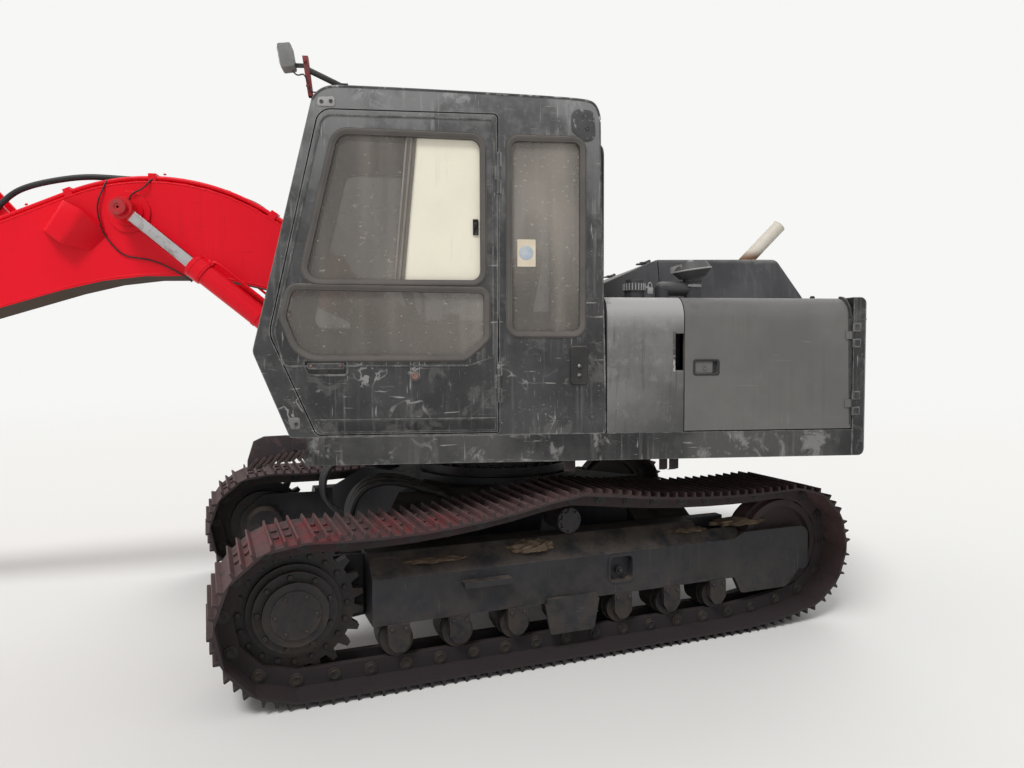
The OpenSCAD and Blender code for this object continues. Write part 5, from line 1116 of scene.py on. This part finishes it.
# Right side fittings: tank cap ribs, the oil tank's bolted lid and sight tube, the tool box's lid latch, and the
# rail's welded feet.
ribs_fuel = cap_ribs((0.250, -0.900, 0), 0.062, 1.816, 1.844)
lid_bolts = spread(bolt_head(0.010, 0.009),
                   shifted(*((-0.560 + x, -0.800 + y, 1.874) for x, y in round_points(0.074, 8))))
sight = stepped(start("cylinder", vertices=14, radius=0.012, depth=0.30, location=(-0.42, -house_half - 0.010, 1.48)),
                [(0.002, 0.008)], ends(upwards))
sight_ends = spread(block((0.036, 0.030, 0.036), 0.005),
                    shifted(*((-0.42, -house_half - 0.012, z) for z in (1.325, 1.635))))
feet = [ring_of((x, -1.150, 1.5725), upwards, 0.0175, 0.042, 0.008, 24) for x in (0.900, 0.460)]
box_latch = plate(boxed(0.655, 0.715, 1.465, 1.525, 0.008), wall(-house_half, 1), 0.010, 0.003)
settle([ribs_fuel, lid_bolts, sight, sight_ends, *feet, box_latch], "right_side_fittings", "house", panel_black)
grip_steel = finish("grip_steel", "dark_steel", (0.060, 0.058, 0.056), 0.6, [
    ("Clouds", (0.10, 0.095, 0.09), 0.8, 0.7), ("Edges", (0.30, 0.29, 0.28), 0.9, 0.35), ("Dust", sand, 0.35, 0.95)],
    size=2.5, edge=0.003)
nubs = shifted(*((0.510 + 0.042 * i, -1.090 + 0.045 * j, 1.572) for i in range(9) for j in range(8)))
settle(spread(disc(0.011, 0.006, [(0.004, 0.001)], 8), nubs), "step_grip_nubs", "house", grip_steel)

# Bolts of the boom's foot pin and the cylinder feet, in greasy steel, and the bundle of black rubber hoses that comes
# up between the cheeks.
pin_bolts = []
for s in (1, -1):
    pin_bolts += bolt_ring((0.400, s * 0.225, 1.550), 0.052, 4, (0, s, 0), 0.6)
    pin_bolts += bolt_ring((0.800, s * 0.342, 1.270), 0.030, 3, (0, s, 0), 0.3)
settle(spread(bolt_head(0.009, 0.009), pin_bolts), "foot_pin_bolts", "house", greasy_steel)
valve_hoses = [pipe_run(((0.10, y, 0.97), (0.12, y, 1.10), (0.20, y * 0.9, 1.22), (0.30, y * 0.9, 1.28),
                         (0.42, y, 1.24), (0.55, y, 1.10), (0.62, y, 0.97)), 0.017, 12)
               for y in (-0.12, -0.07, -0.02, 0.03, 0.08, 0.13)]
settle(valve_hoses, "valve_hoses", "house", hose_rubber, 50)

# Roof lamp: grey plastic work lamp with a glass lens, on a strap of flat bar in old dark-red paint. Its cable runs
# down the strap.
lamp_y = 1.100
lamp_grey = finish("lamp_grey", "dark_plastic", (0.17, 0.17, 0.165), 0.6, [
    ("Clouds", (0.24, 0.235, 0.225), 0.8, 0.65), ("Chips", (0.09, 0.09, 0.088), 0.6, 0.7),
    ("Edges", (0.36, 0.355, 0.34), 0.7, 0.5)], size=5.0, edge=0.003)
old_red = finish("old_red", "red_paint", (0.20, 0.025, 0.025), 0.55, [
    ("Clouds", (0.13, 0.022, 0.022), 0.8, 0.6), ("Patches", (0.10, 0.055, 0.045), 0.7, 0.8),
    ("Edges", (0.26, 0.16, 0.13), 0.6, 0.6)], size=5.0, edge=0.003)
lamp_side = wall(lamp_y + 0.046)
head_line = rounded([(1.059, 2.933, 0.010), (1.076, 3.0395, 0.010), (1.1395, 3.0385, 0.010), (1.123, 2.923, 0.010)])
head = slab(on_plane(head_line, lamp_side), lamp_side, 0.092, 0.004, -1)
fins = [plate(grown(head_line, 0.0005), wall(lamp_y + y), 0.004, 0.001) for y in (-0.030, -0.010, 0.010, 0.030)]
settle([head, *fins], "lamp_head", "house", lamp_grey)
lens_glass = finish("lens_glass", "glass", (0.42, 0.43, 0.43), 0.12, [
    ("Clouds", (0.52, 0.52, 0.50), 0.8, 0.2), ("Dust", (0.4, 0.36, 0.3), 0.5, 0.8)], size=6.0)
lens_way = Vector((0.985, 0, -0.17)).normalized()
pane = stepped(start("cube", size=1, scale=(0.080, 0.084, 0.004)), [(0.006, 0.002)])
bpy.ops.mesh.subdivide(number_cuts=7)
reshape(pane, lambda x, y, z: Vector((x, y, z + 0.0015 * math.cos(y * 500) if z > 0.003 else z)))
settle(spread(pane, [standing((1.1315, lamp_y, 2.981), lens_way)]), "lamp_lens", "house", lens_glass)
strap_line = corners_of((-0.9785, 2.802), (-1.0005, 2.9935), (-1.0275, 2.9935), (-1.0015, 2.802))
strap = slab(strap_line, wall(lamp_y + 0.0155), 0.031, 0.001, -1)
strap_bolts = [standing((x, lamp_y + 0.0155, z), leftward) for x, z in ((1.015, 2.968), (1.003, 2.850))]
settle([strap, spread(bolt_head(0.008, 0.007), strap_bolts)], "lamp_strap", "house", old_red)
cable = pipe_run([(1.075, 1.100, 2.925), (1.062, 1.100, 2.905), (1.040, 1.108, 2.90), (1.022, 1.118, 2.91),
                  (1.006, 1.119, 2.88), (1.000, 1.119, 2.85), (0.992, 1.119, 2.825), (0.975, 1.118, 2.818),
                  (0.950, 1.118, 2.822)], 0.0035)
settle(cable, "lamp_cable", "house", hose_rubber, 60)

# Boom: bent box of welded plate, sprayed red. A run of weld follows both long edges of each side plate, and a fillet
# rings the bosses of the eye and of the tip.
boom_half = 0.165
arm_half = 0.120
boom_line = rounded([(0.320, 1.490, 0.040), (0.292, 1.657, 0.060), (1.908, 2.740, 1.220), (4.970, 1.472, 0.060),
                     (4.920, 1.214, 0.060), (1.571, 2.240, 2.100), (0.460, 1.438, 0.060)], 22)


def bead(points, radius=0.0042):
    """Weld bead: a half-sunk pipe whose girth swells at every stitch."""
    run, stitch = pipe_run(points, radius), 150
    ways = [corner.normal.copy() for corner in run.data.vertices]
    for corner, way in zip(run.data.vertices, ways):
        corner.co += way * radius * 0.3 * math.sin(corner.co.x * stitch) * math.cos(corner.co.z * stitch)
    return run


def along_line(line, low, high, step, test):
    """Points of a closed outline between two places along x, set close enough for a smooth run."""
    dense = []
    for a, b in zip(line, line[1:] + line[:1]):
        parts = max(1, int((b - a).length / step))
        dense += [a.lerp(b, k / parts) for k in range(parts)]
    return sorted((p for p in dense if low < p.x < high and test(p)), key=lambda p: p.x)


def above_boom(p):
    """True on the boom's upper side."""
    return p.y > 2.49 - 0.42 * abs(p.x - 1.75)


inner_line = grown(boom_line, -0.010)
crest = along_line(inner_line, 0.45, 4.40, 0.06, above_boom)
belly = along_line(inner_line, 0.60, 4.40, 0.06, lambda p: p.y < 2.35 - 0.42 * abs(p.x - 1.75))
beads = []
for s in (1, -1):
    beads += [bead([(p.x, s * (boom_half - 0.001), p.y) for p in line]) for line in (crest, belly)]
    for cx, cz, r, far in ((2.175, 2.395, 0.120, 9), (4.950, 1.344, 0.135, 4.93)):
        dots = [(cx + x, s * boom_half, cz + z) for x, z in round_points(r, 36, closed=True)]
        beads.append(bead([p for p in dots if p[0] < far], 0.0055))
settle(beads, "boom_welds", "boom", boom_red, 70)

# Lamp guard: a hood of bent plate welded to the boom's left face, open at both ends, over the place of the work lamp.
# The same hood sits on the right face.
guard_ends = [((2.660, 0.163, 2.284), (2.618, 0.250, 2.272), (2.528, 0.250, 2.199), (2.395, 0.166, 2.168)),
              ((2.545, 0.163, 2.462), (2.505, 0.250, 2.444), (2.404, 0.250, 2.389), (2.298, 0.166, 2.262))]
guards = []
for s in (1, -1):
    hood = start("grid", x_subdivisions=3, y_subdivisions=1, size=1)
    form = reshape(hood, lambda x, y, _: Vector(guard_ends[y >= 0][round((x + 0.5) * 3)]) * Vector((1, s, 1)))
    form.normal_update()
    for face in form.faces:
        if face.normal.y * s < 0:
            face.normal_flip()
    bmesh.update_edit_mesh(hood.data)
    soften(hood, 0.020, 4, lambda edge: len(edge.link_faces) == 2)
    guards.append(thicken(hood, 0.006, 0.001, offset=-1))
settle(guards, "boom_lamp_guards", "boom", boom_red, 40)

# Caps of the rod eyes and of the tip pin: turned end discs. Keeper plates with two bolts hold the tip pin and the
# arm cylinder's foot pin.
def end_cap(radius, height):
    """Turned disc with a raised middle and a centre hole, for the end of a pin."""
    steps = ((0.12, 0.0015), (0.42, 0), (0.06, -0.003), (0.22, 0), (0.04, -0.005))
    return disc(radius, height, [(radius * share, rise) for share, rise in steps], 40)


def keeper(radius):
    """Keeper plate bolted across the edge of a pin's end disc."""
    x = radius * 0.98
    bar = stepped(block((0.034, 0.110, 0.010), 0.008, (x, 0, 0.006), 3, upright), [(0.002, 0.001)])
    return joined([bar, spread(bolt_head(0.011, 0.010), shifted((x, -0.036, 0.011), (x, 0.036, 0.011)))])


def both_faces(centre, out, turns=(0, 0), base=Matrix()):
    """A place on each side of a pin: (x, z), this far out, with a turn for the left and the right one."""
    return [base @ standing((centre[0], s * out, centre[1]), (0, s, 0), a) for s, a in zip((1, -1), turns)]


eye_red = finish("eye_red", "dark_steel", (0.34, 0.022, 0.026), 0.6, [
    ("Clouds", (0.50, 0.020, 0.026), 0.8, 0.5), ("Chips", (0.15, 0.075, 0.06), 0.8, 0.8),
    ("Patches", (0.22, 0.09, 0.08), 0.7, 0.7)], size=5.0, edge=0.003, bump=0.6, depth=0.002)
boom_foot_pin, boom_eye, boom_tip = (0.800, 1.270), (2.175, 2.395), (4.950, 1.344)
arm_foot_pin = (3.100, 2.540)
for pattern, places, name, body, paint in (
        (end_cap(0.043, 0.004), both_faces(boom_eye, 0.342), "boom_eye_caps", "boom_rods", eye_red),
        (end_cap(0.058, 0.004), both_faces(boom_tip, 0.193), "boom_tip_caps", "arm", boom_red),
        (keeper(0.075), both_faces(boom_tip, 0.1775, (2.2, 2.2)), "boom_tip_keepers", "boom", boom_red),
        (keeper(0.052), both_faces(arm_foot_pin, 0.0905, (1.2, 1.9)), "arm_cylinder_keepers", "boom", boom_red)):
    settle(spread(pattern, places), name, body, paint, 40)

# Cylinder glands: the bolted head at each barrel's mouth, with its wiper ring and bolts. Each head has two raised
# bands, sprayed red with the barrel.
def line_of(foot, eye, y=0):
    """Root of a cylinder, the way along it and the way up from it."""
    run = (Vector(eye) - Vector(foot)).normalized()
    return Vector((foot[0], y, foot[1])), Vector((run.x, 0, run.y)), Vector((-run.y, 0, run.x))


def gland(line, d, radius, rod_radius):
    """Pieces of a gland, built upright and then laid on its cylinder's line."""
    root, out, _ = line
    wiper = disc(rod_radius + 0.014, 0.012, [(0.003, 0.002), (0.0105, -0.0025)], 48)
    bpy.ops.mesh.delete(type="FACE")
    heads = shifted(*((x, y, 0) for x, y in round_points(radius - 0.012, 8)))
    pieces = [wiper, spread(bolt_head(0.0075, 0.007), heads)]
    pieces += [hoop(radius + 0.0018, 0.008, 0.0025, 0.0012, z, 48) for z in (-0.074, -0.016)]
    return spread(joined(pieces), [standing(root + out * d, out)])


boom_cylinders = [line_of(boom_foot_pin, boom_eye, s * 0.272) for s in (1, -1)]
settle([gland(line, 1.280, 0.070, 0.037) for line in boom_cylinders], "boom_cylinder_glands", "boom_barrels",
       boom_red, 40)

# Cylinder ports and their steel lines: one elbow at each end of a barrel, with the line to the gland end clipped along
# the barrel's top.
def barrel_ports(cylinder, radius, near, far, side):
    """The two ports of a barrel, the line between them and its clips."""
    root, out, up = cylinder

    def at(d, rise=0, aside=0):
        return root + out * d + up * (radius + rise) + Vector((0, side * aside, 0))

    pieces = [spread(block((0.044, 0.040, 0.026), 0.005, (0, 0, 0.010)), [standing(at(d), up)]) for d in (near, far)]
    line = [at(far, 0.018), at(far - 0.02, 0.032), at(far - 0.06, 0.034)]
    line += [at(far - 0.06 - k * (far - near - 0.16) / 6, 0.030, 0.010) for k in range(1, 7)]
    pieces.append(pipe_run(line + [at(near + 0.06, 0.030), at(near + 0.03, 0.040, 0.02)], 0.009))
    for k in (0.25, 0.62):
        d = near + (far - near) * k
        pieces.append(spread(hoop(radius + 0.003, 0.022, 0.004, 0.0008), [standing(root + out * d, out)]))
        clip = block((0.030, 0.034, 0.040), 0.010, (0, 0, 0.018), 3,
                     lambda edge: all(v.co.z > 0.02 for v in edge.verts))
        pieces.append(spread(clip, [standing(at(d), up)]))
    return pieces


ports = [barrel_ports(line, 0.062, 0.155, 1.205, side) for line, side in zip(boom_cylinders, (-1, 1))]
settle(ports[0] + ports[1], "boom_cylinder_lines", "boom_barrels", boom_red, 45)
arm_lean = math.radians(25.75)
arm_turn = Matrix.Translation((4.950, 0, 1.344)) @ Matrix.Rotation(arm_lean, 4, "Y")
arm_eye = arm_turn @ Vector((-0.470, 0, 0.222))
arm_cylinder = line_of(arm_foot_pin, (arm_eye.x, arm_eye.z))
settle(barrel_ports(arm_cylinder, 0.062, 0.150, 1.225, 1) + [gland(arm_cylinder, 1.300, 0.070, 0.037)],
       "arm_cylinder_lines", "arm_barrel", boom_red, 45)

# Thin grease lines and the black return hose on the boom. The grease lines are 8 mm nylon tube that loops from the
# crest down to the eye and back up the lamp guard. The hose lies clamped along the crest.
line_black = finish("line_black", "dark_plastic", (0.020, 0.018, 0.018), 0.4, [
    ("Clouds", (0.05, 0.035, 0.035), 0.8, 0.5), ("Chips", (0.35, 0.02, 0.03), 0.5, 0.5)], size=4.0)
loop_lines = (
    ((2.030, 0.150, 2.605), (2.052, 0.168, 2.586), (2.062, 0.182, 2.562), (2.075, 0.186, 2.545), (2.105, 0.188, 2.520),
     (2.138, 0.190, 2.509), (2.165, 0.192, 2.480), (2.173, 0.192, 2.445), (2.175, 0.189, 2.420)),
    ((2.300, 0.150, 2.588), (2.306, 0.166, 2.560), (2.315, 0.178, 2.525), (2.343, 0.182, 2.461), (2.348, 0.182, 2.420),
     (2.345, 0.184, 2.385), (2.335, 0.184, 2.330), (2.320, 0.180, 2.270), (2.290, 0.176, 2.225), (2.260, 0.173, 2.185),
     (2.217, 0.172, 2.143), (2.150, 0.172, 2.128), (2.072, 0.172, 2.121), (2.000, 0.172, 2.095), (1.938, 0.172, 2.063),
     (1.890, 0.172, 2.035), (1.859, 0.168, 2.017), (1.830, 0.160, 1.990)))
settle([pipe_run([(x, s * y, z) for x, y, z in line], 0.0045) for s in (1, -1) for line in loop_lines], "grease_lines",
       "boom", line_black, 60)
hose_line = grown(boom_line, 0.019)
top_line = along_line(hose_line, 3.02, 4.30, 0.10, above_boom)
rear_line = along_line(hose_line, 1.50, 2.12, 0.08, above_boom)
arch = ((2.205, 2.602), (2.290, 2.606), (2.400, 2.612), (2.519, 2.603), (2.686, 2.570), (2.780, 2.540), (2.842, 2.509),
        (2.900, 2.458), (2.950, 2.405))
hose_points = corners_of((1.40, 0.068, rear_line[0].y - 0.075), (1.45, 0.074, rear_line[0].y - 0.030),
                         *((p.x, 0.078, p.y) for p in rear_line), *((x, 0.100, z) for x, z in arch),
                         *((p.x, 0.078, p.y) for p in top_line))
hose_end = hose_points[-1].z
hose_points += corners_of((4.33, 0.070, hose_end - 0.030), (4.345, 0.060, hose_end - 0.070))
settle(pipe_run(hose_points, 0.0175, 16), "boom_top_hose", "boom", hose_rubber, 60)
clamps = []
for i in (4, 8, 21, 26, 31):
    i = min(i, len(hose_points) - 4)
    p, q = hose_points[i], hose_points[i + 1]
    way = Vector((q.x - p.x, 0, q.z - p.z)).normalized()
    up = Vector((-way.z, 0, way.x))
    turn = Matrix((way, leftward, up)).transposed().to_4x4()
    base = Matrix.Translation(p - up * 0.0195) @ turn
    clamps += [spread(hoop(0.0205, 0.026, 0.0025, 0.0005, 0, 24), [standing(p, way)]),
               spread(block((0.026, 0.074, 0.006), 0.002, (0, 0, 0.003), 1), [base]),
               spread(bolt_head(0.007, 0.006), [base @ m for m in shifted((0, -0.029, 0.006), (0, 0.029, 0.006))])]
settle(clamps, "hose_clamps", "boom", boom_red, 45)

# Steel pipes on the boom: two bolts close every clamp over the pipes. They were sprayed red with the rest of the
# boom.
pipe_line = along_line(grown(boom_line, 0.018), 0.60, 4.60, 0.05, above_boom)
bolts = []
for x in (0.712, 1.103, 1.965, 2.740, 3.340, 3.930):
    i = min(range(1, len(pipe_line) - 1), key=lambda k: abs(pipe_line[k].x - x))
    way = (pipe_line[i + 1] - pipe_line[i - 1]).normalized()
    up = Vector((-way.y, way.x))
    p = pipe_line[i] + up * 0.0245
    bolts += [standing((p.x, s * 0.130, p.y), (up.x, 0, up.y)) for s in (1, -1)]
settle(spread(bolt_head(0.009, 0.008), bolts), "pipe_clamp_bolts", "boom", boom_red, 40)

# Arm: welded box, sprayed red like the boom. Weld runs along its side plates, keepers and end discs on its pins,
# and two steel pipes with their clamps along each side for the bucket cylinder.
arm_line = rounded([(-0.150, -0.060, 0.060), (-0.540, 0.182, 0.050), (-0.490, 0.297, 0.050), (0.140, 0.500, 0.060),
                    (0.280, 0.490, 0.060), (0.600, 0.095, 0.240), (2.040, 0.066, 0.030), (2.160, 0.064, 0.060),
                    (2.155, -0.075, 0.060), (1.850, -0.125, 0.200), (0.400, -0.190, 0.300), (0.060, -0.135, 0.080)], 10)
pipe_points = ((0.250, 0.470), (0.262, 0.440), (0.300, 0.385), (0.420, 0.220), (0.520, 0.090), (0.600, 0.010),
               (0.700, -0.020), (0.900, -0.022), (1.100, -0.020), (1.300, -0.018))
weld_line = grown(arm_line, -0.010)
arm_beads, side_pipes = [], []
for s in (1, -1):
    for low, high, test in ((0.62, 1.95, lambda p: p.y > 0), (0.15, 1.95, lambda p: p.y < 0),
                            (-0.42, 0.12, lambda p: p.y > 0.28)):
        run = along_line(weld_line, low, high, 0.05, test)
        arm_beads.append(bead([(p.x, s * (arm_half - 0.001), p.y) for p in run]))
    for u, v, r in ((-0.470, 0.222, 0.064), (0.200, 0.430, 0.057)):
        arm_beads.append(bead([(u + x, s * (arm_half + 0.0005), v + z) for x, z in round_points(r, 24, closed=True)]))
    for dy in (0.0, 0.030):
        side_pipes.append(pipe_run([(u - dy * 0.8, s * (arm_half + 0.012), v - dy * (1 if u > 0.55 else 0.6))
                                    for u, v in pipe_points], 0.009))
    for u, v in ((0.355, 0.300), (0.760, -0.036), (1.240, -0.034)):
        side_pipes.append(block((0.036, 0.024, 0.074), 0.003, (u, s * (arm_half + 0.011), v)))
        side_pipes.append(spread(bolt_head(0.008, 0.007), [standing((u, s * (arm_half + 0.023), v), (0, s, 0))]))


def laid(pieces, place):
    """Moves pieces from the drawing of the arm or bucket to their place on the machine."""
    alone()
    for piece in pieces:
        piece.data.transform(place)
    return pieces


settle(laid(arm_beads, arm_turn), "arm_welds", "arm", boom_red, 70)
settle(laid(side_pipes, arm_turn), "arm_pipes", "arm", boom_red, 50)
discs = [spread(end_cap(r, 0.003), both_faces(centre, y, base=arm_turn))
         for centre, y, r in (((1.700, 0), 0.156, 0.026), ((0.200, 0.430), 0.124, 0.024))]
settle(discs, "arm_pin_ends", "arm", eye_red, 40)
eye_ends = spread(end_cap(0.028, 0.003), both_faces((-0.470, 0.222), 0.124, base=arm_turn))
settle(eye_ends, "arm_eye_pin_ends", "arm", eye_red, 40)
lever_turn = math.radians(133)
tip = (1.700 + 0.360 * math.cos(lever_turn), 0.360 * math.sin(lever_turn))
settle([spread(end_cap(0.032, 0.003), both_faces(tip, 0.164, base=arm_turn)),
        spread(keeper(0.040), both_faces(tip, 0.1545, (2.4, 0.7), arm_turn))], "lever_pin_ends", "levers", eye_red, 40)

# Bucket cylinder: gland with its bolts, ports and the line along the barrel. All are steel, screwed or clamped on and
# sprayed red with the arm.
bucket_cylinder = line_of((0.200, 0.430), tip)
pieces = barrel_ports(bucket_cylinder, 0.056, 0.140, 0.930, 1) + [gland(bucket_cylinder, 1.000, 0.064, 0.032)]
settle(laid(pieces, arm_turn), "bucket_cylinder_lines", "bucket_barrel", boom_red, 45)

# Bucket: cast tooth caps pinned on their noses, two wear straps bent over the shell's back, and a side cutter held
# by three bolts at each end of the lip. Earth-polished where it digs.
bucket_turn = Matrix.Translation(arm_turn @ Vector((2.100, 0, 0))) @ Matrix.Rotation(math.radians(22.75), 4, "Y")
bucket_half = 0.450
tooth_bright = finish("tooth_bright", "dark_steel", (0.20, 0.185, 0.175), 0.42, [
    ("Clouds", (0.13, 0.11, 0.10), 0.8, 0.55), ("Scratches", (0.42, 0.41, 0.40), 0.7, 0.3),
    ("Patches", (0.16, 0.10, 0.075), 0.5, 0.8), ("Edges", (0.45, 0.44, 0.43), 0.8, 0.3)], size=3.0)
teeth = []
cap_line = grown(corners_of((1.080, -0.014), (0.984, 0.098), (0.955, 0.086), (0.943, 0.058)), 0.004)
for y in ((i - 2) * 0.2025 for i in range(5)):
    cap = slab(cap_line, wall(y + 0.0375, 1), 0.075, 0.004)
    for corner in cap.data.vertices:
        narrow = 1 - 0.28 * max(0, min(1, (corner.co.x - 0.99) / 0.09))
        corner.co.y = y + (corner.co.y - y) * narrow
    peg = start("cylinder", vertices=16, radius=0.010, depth=0.086, location=(0.980, y, 0.070),
                rotation=(math.pi / 2, 0, 0))
    teeth += [cap, stepped(peg, [(0.003, -0.002)], ends(leftward))]
settle(laid(teeth, bucket_turn), "bucket_tooth_caps", "bucket", tooth_bright, 40)
bucket_line = rounded([(0.120, 0.070, 0.040), (-0.060, 0.300, 0.060), (0.020, 0.640, 0.240), (0.480, 0.780, 0.330),
                       (0.770, 0.345, 0.200), (0.985, 0.070, 0.0)], 10)
outer, inner = grown(bucket_line, 0.010), grown(bucket_line, -0.004)
keep = [k for k, p in enumerate(bucket_line) if p.y > 0.30]
strap_line = [outer[k] for k in keep] + [inner[k] for k in reversed(keep)]
pieces = [slab(strap_line, wall(y + 0.045, 1), 0.090, 0.003) for y in (-0.24, 0.24)]
cutter_line = rounded([(0.800, 0.080, 0.010), (0.985, 0.080, 0.006), (0.955, 0.160, 0.020), (0.850, 0.290, 0.030),
                       (0.760, 0.240, 0.030)])
for s in (1, -1):
    pieces.append(slab(cutter_line, wall(s * bucket_half, 1), 0.014, 0.003, -s))
    pieces.append(spread(bolt_head(0.017, 0.014), [standing((x, s * (bucket_half + 0.013), z), (0, s, 0))
                                                   for x, z in ((0.925, 0.125), (0.865, 0.175), (0.820, 0.235))]))
settle(laid(pieces, bucket_turn), "bucket_wear_parts", "bucket", bucket_steel, 40)
link_turn = math.radians(130)
link_pin = (0.360 * math.cos(link_turn), 0.360 * math.sin(link_turn))
pin_discs = [m for pin in ((0, 0), link_pin) for m in both_faces(pin, 0.206, base=bucket_turn)]
pin_locks = [m for pin, a in (((0, 0), 0.9), (link_pin, 2.0)) for m in both_faces(pin, 0.1925, (a, a), bucket_turn)]
settle([spread(end_cap(0.052, 0.004), pin_discs), spread(keeper(0.060), pin_locks)], "bucket_pin_ends", "bucket",
       eye_red, 40)

# Driver's seat: foam cushions in dark woven cloth with sewn channels. They sit on a sprung base in a rubber
# bellows. The cushions are blown up as cloth, then capped.
seat_y = 0.795
swell_most = 0.024
seam_half, seam_depth = 0.010, 0.007
seat_cloth = finish("seat_cloth", "seat_cloth", (0.030, 0.031, 0.034), 0.9, [
    ("Clouds", (0.050, 0.050, 0.052), 0.8, 0.9), ("Grain", (0.085, 0.083, 0.080), 0.5, 0.95),
    ("Dust", (0.22, 0.19, 0.16), 0.35, 0.95)], size=4.0, bump=0.35)


def cushion(name, line, half, channels, run, face_way, flat_way=None):
    """A crowned foam cushion: a bevelled slab, remeshed, blown up as cloth with a cap, and sewn across."""
    pad = slab(grown(line, -0.014), wall(seat_y + half - 0.014, 1), 2 * half - 0.028, 0.022, segments=3)
    modified(pad, "REMESH", mode="VOXEL", voxel_size=0.008)
    before = [corner.co.copy() for corner in pad.data.vertices]
    bpy.ops.object.modifier_add(type="CLOTH")
    cloth = pad.modifiers[-1]
    cloth.settings.use_pressure = True
    cloth.settings.uniform_pressure_force = 4
    cloth.settings.effector_weights.gravity = 0
    cloth.point_cache.frame_end = 20
    for frame_number in range(1, 21):
        bpy.context.scene.frame_set(frame_number)
    bpy.ops.object.modifier_apply(modifier=cloth.name)
    bpy.context.scene.frame_set(1)
    low = min(p.dot(flat_way) for p in before) if flat_way else None
    ways = [corner.normal.copy() for corner in pad.data.vertices]
    for corner, p, out in zip(pad.data.vertices, before, ways):
        move = corner.co - p
        if move.length > swell_most:
            move = move.normalized() * swell_most
        corner.co = p + move
        if flat_way and corner.co.dot(flat_way) < low:
            corner.co -= flat_way * (corner.co.dot(flat_way) - low)
    modified(pad, "SUBSURF", levels=1, render_levels=1)
    ways = [corner.normal.dot(face_way) for corner in pad.data.vertices]
    for corner, lean in zip(pad.data.vertices, ways):
        for at in channels:
            near = abs(corner.co.dot(run) - at) / seam_half
            if lean > 0.35 and near < 1:
                corner.co -= face_way * seam_depth * (1 - near * near)
    return settle(pad, name, "house", seat_cloth, 60)


seat_line = rounded([(0.040, 1.450, 0.020), (0.040, 1.570, 0.030), (0.540, 1.590, 0.045), (0.560, 1.480, 0.030),
                     (0.520, 1.449, 0.010)])
back_line = rounded([(-0.060, 1.540, 0.030), (-0.170, 2.120, 0.040), (-0.060, 2.150, 0.040), (0.080, 1.560, 0.030)])
head_line = rounded([(-0.150, 2.120, 0.020), (-0.185, 2.330, 0.040), (-0.095, 2.340, 0.040), (-0.070, 2.130, 0.020)])
back_lean, back_face = Vector((-0.186, 0, 0.983)), Vector((0.983, 0, 0.186))
pads = [cushion("seat_cushion", seat_line, 0.240, (0.20, 0.40), Vector(forward), Vector(upwards), Vector(upwards)),
        cushion("seat_back", back_line, 0.220, (1.68, 1.84, 2.00), back_lean, back_face),
        cushion("seat_headrest", head_line, 0.130, (), back_lean, back_face)]
for pad, fill in zip(pads, (0.7, 0.65, 0.75)):
    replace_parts(pad, "seat")
bellows = start("cube", size=1, location=(0.270, seat_y, 1.212), scale=(0.400, 0.380, 0.014))
for size in (0.94, 1 / 0.94) * 5:
    top = max(v.co.z for v in bmesh.from_edit_mesh(bellows.data).verts)
    pick(bellows, lambda face: face.normal.z > square_on and face.calc_center_median().z > top - 0.002)
    raised((0, 0, 0.014), (size, size, 1))
pick(bellows, facing(upwards))
raised((0, 0, 0.060), (1.02, 1.02, 1))
bpy.ops.mesh.extrude_region_move(TRANSFORM_OT_translate={"value": (0, 0, 0.026)})
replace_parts(settle(bellows, "seat_base", "house", hose_rubber, 30), "seat")

# Consoles, levers and floor: black rubber boots, pushed over the lever roots, and a ribbed rubber mat that lies on the
# floor.
boots = []
for s in (1, -1):
    boot = start("cylinder", vertices=28, radius=0.045, depth=0.012)
    for size, rise in ((0.80, 0.007), (1.08, 0.009)) * 4:
        pick(boot, facing(upwards))
        raised((0, 0, rise), (size, size, 1))
    boot_turn = Matrix.Rotation(math.radians(12), 4, "Y")
    boots.append(spread(boot, [Matrix.Translation((0.500, seat_y + s * 0.310, 1.708)) @ boot_turn]))
rib_count = 46
mat = start("grid", x_subdivisions=rib_count, y_subdivisions=2, size=1)
reshape(mat, lambda x, y, _: Vector((0.780 + 0.42 * x, seat_y + 0.72 * y,
                                     1.2075 + 0.003 * (round((x + 0.5) * rib_count) % 2))))
settle([*boots, thicken(mat, 0.004)], "boots_and_mat", "house", hose_rubber, 30)
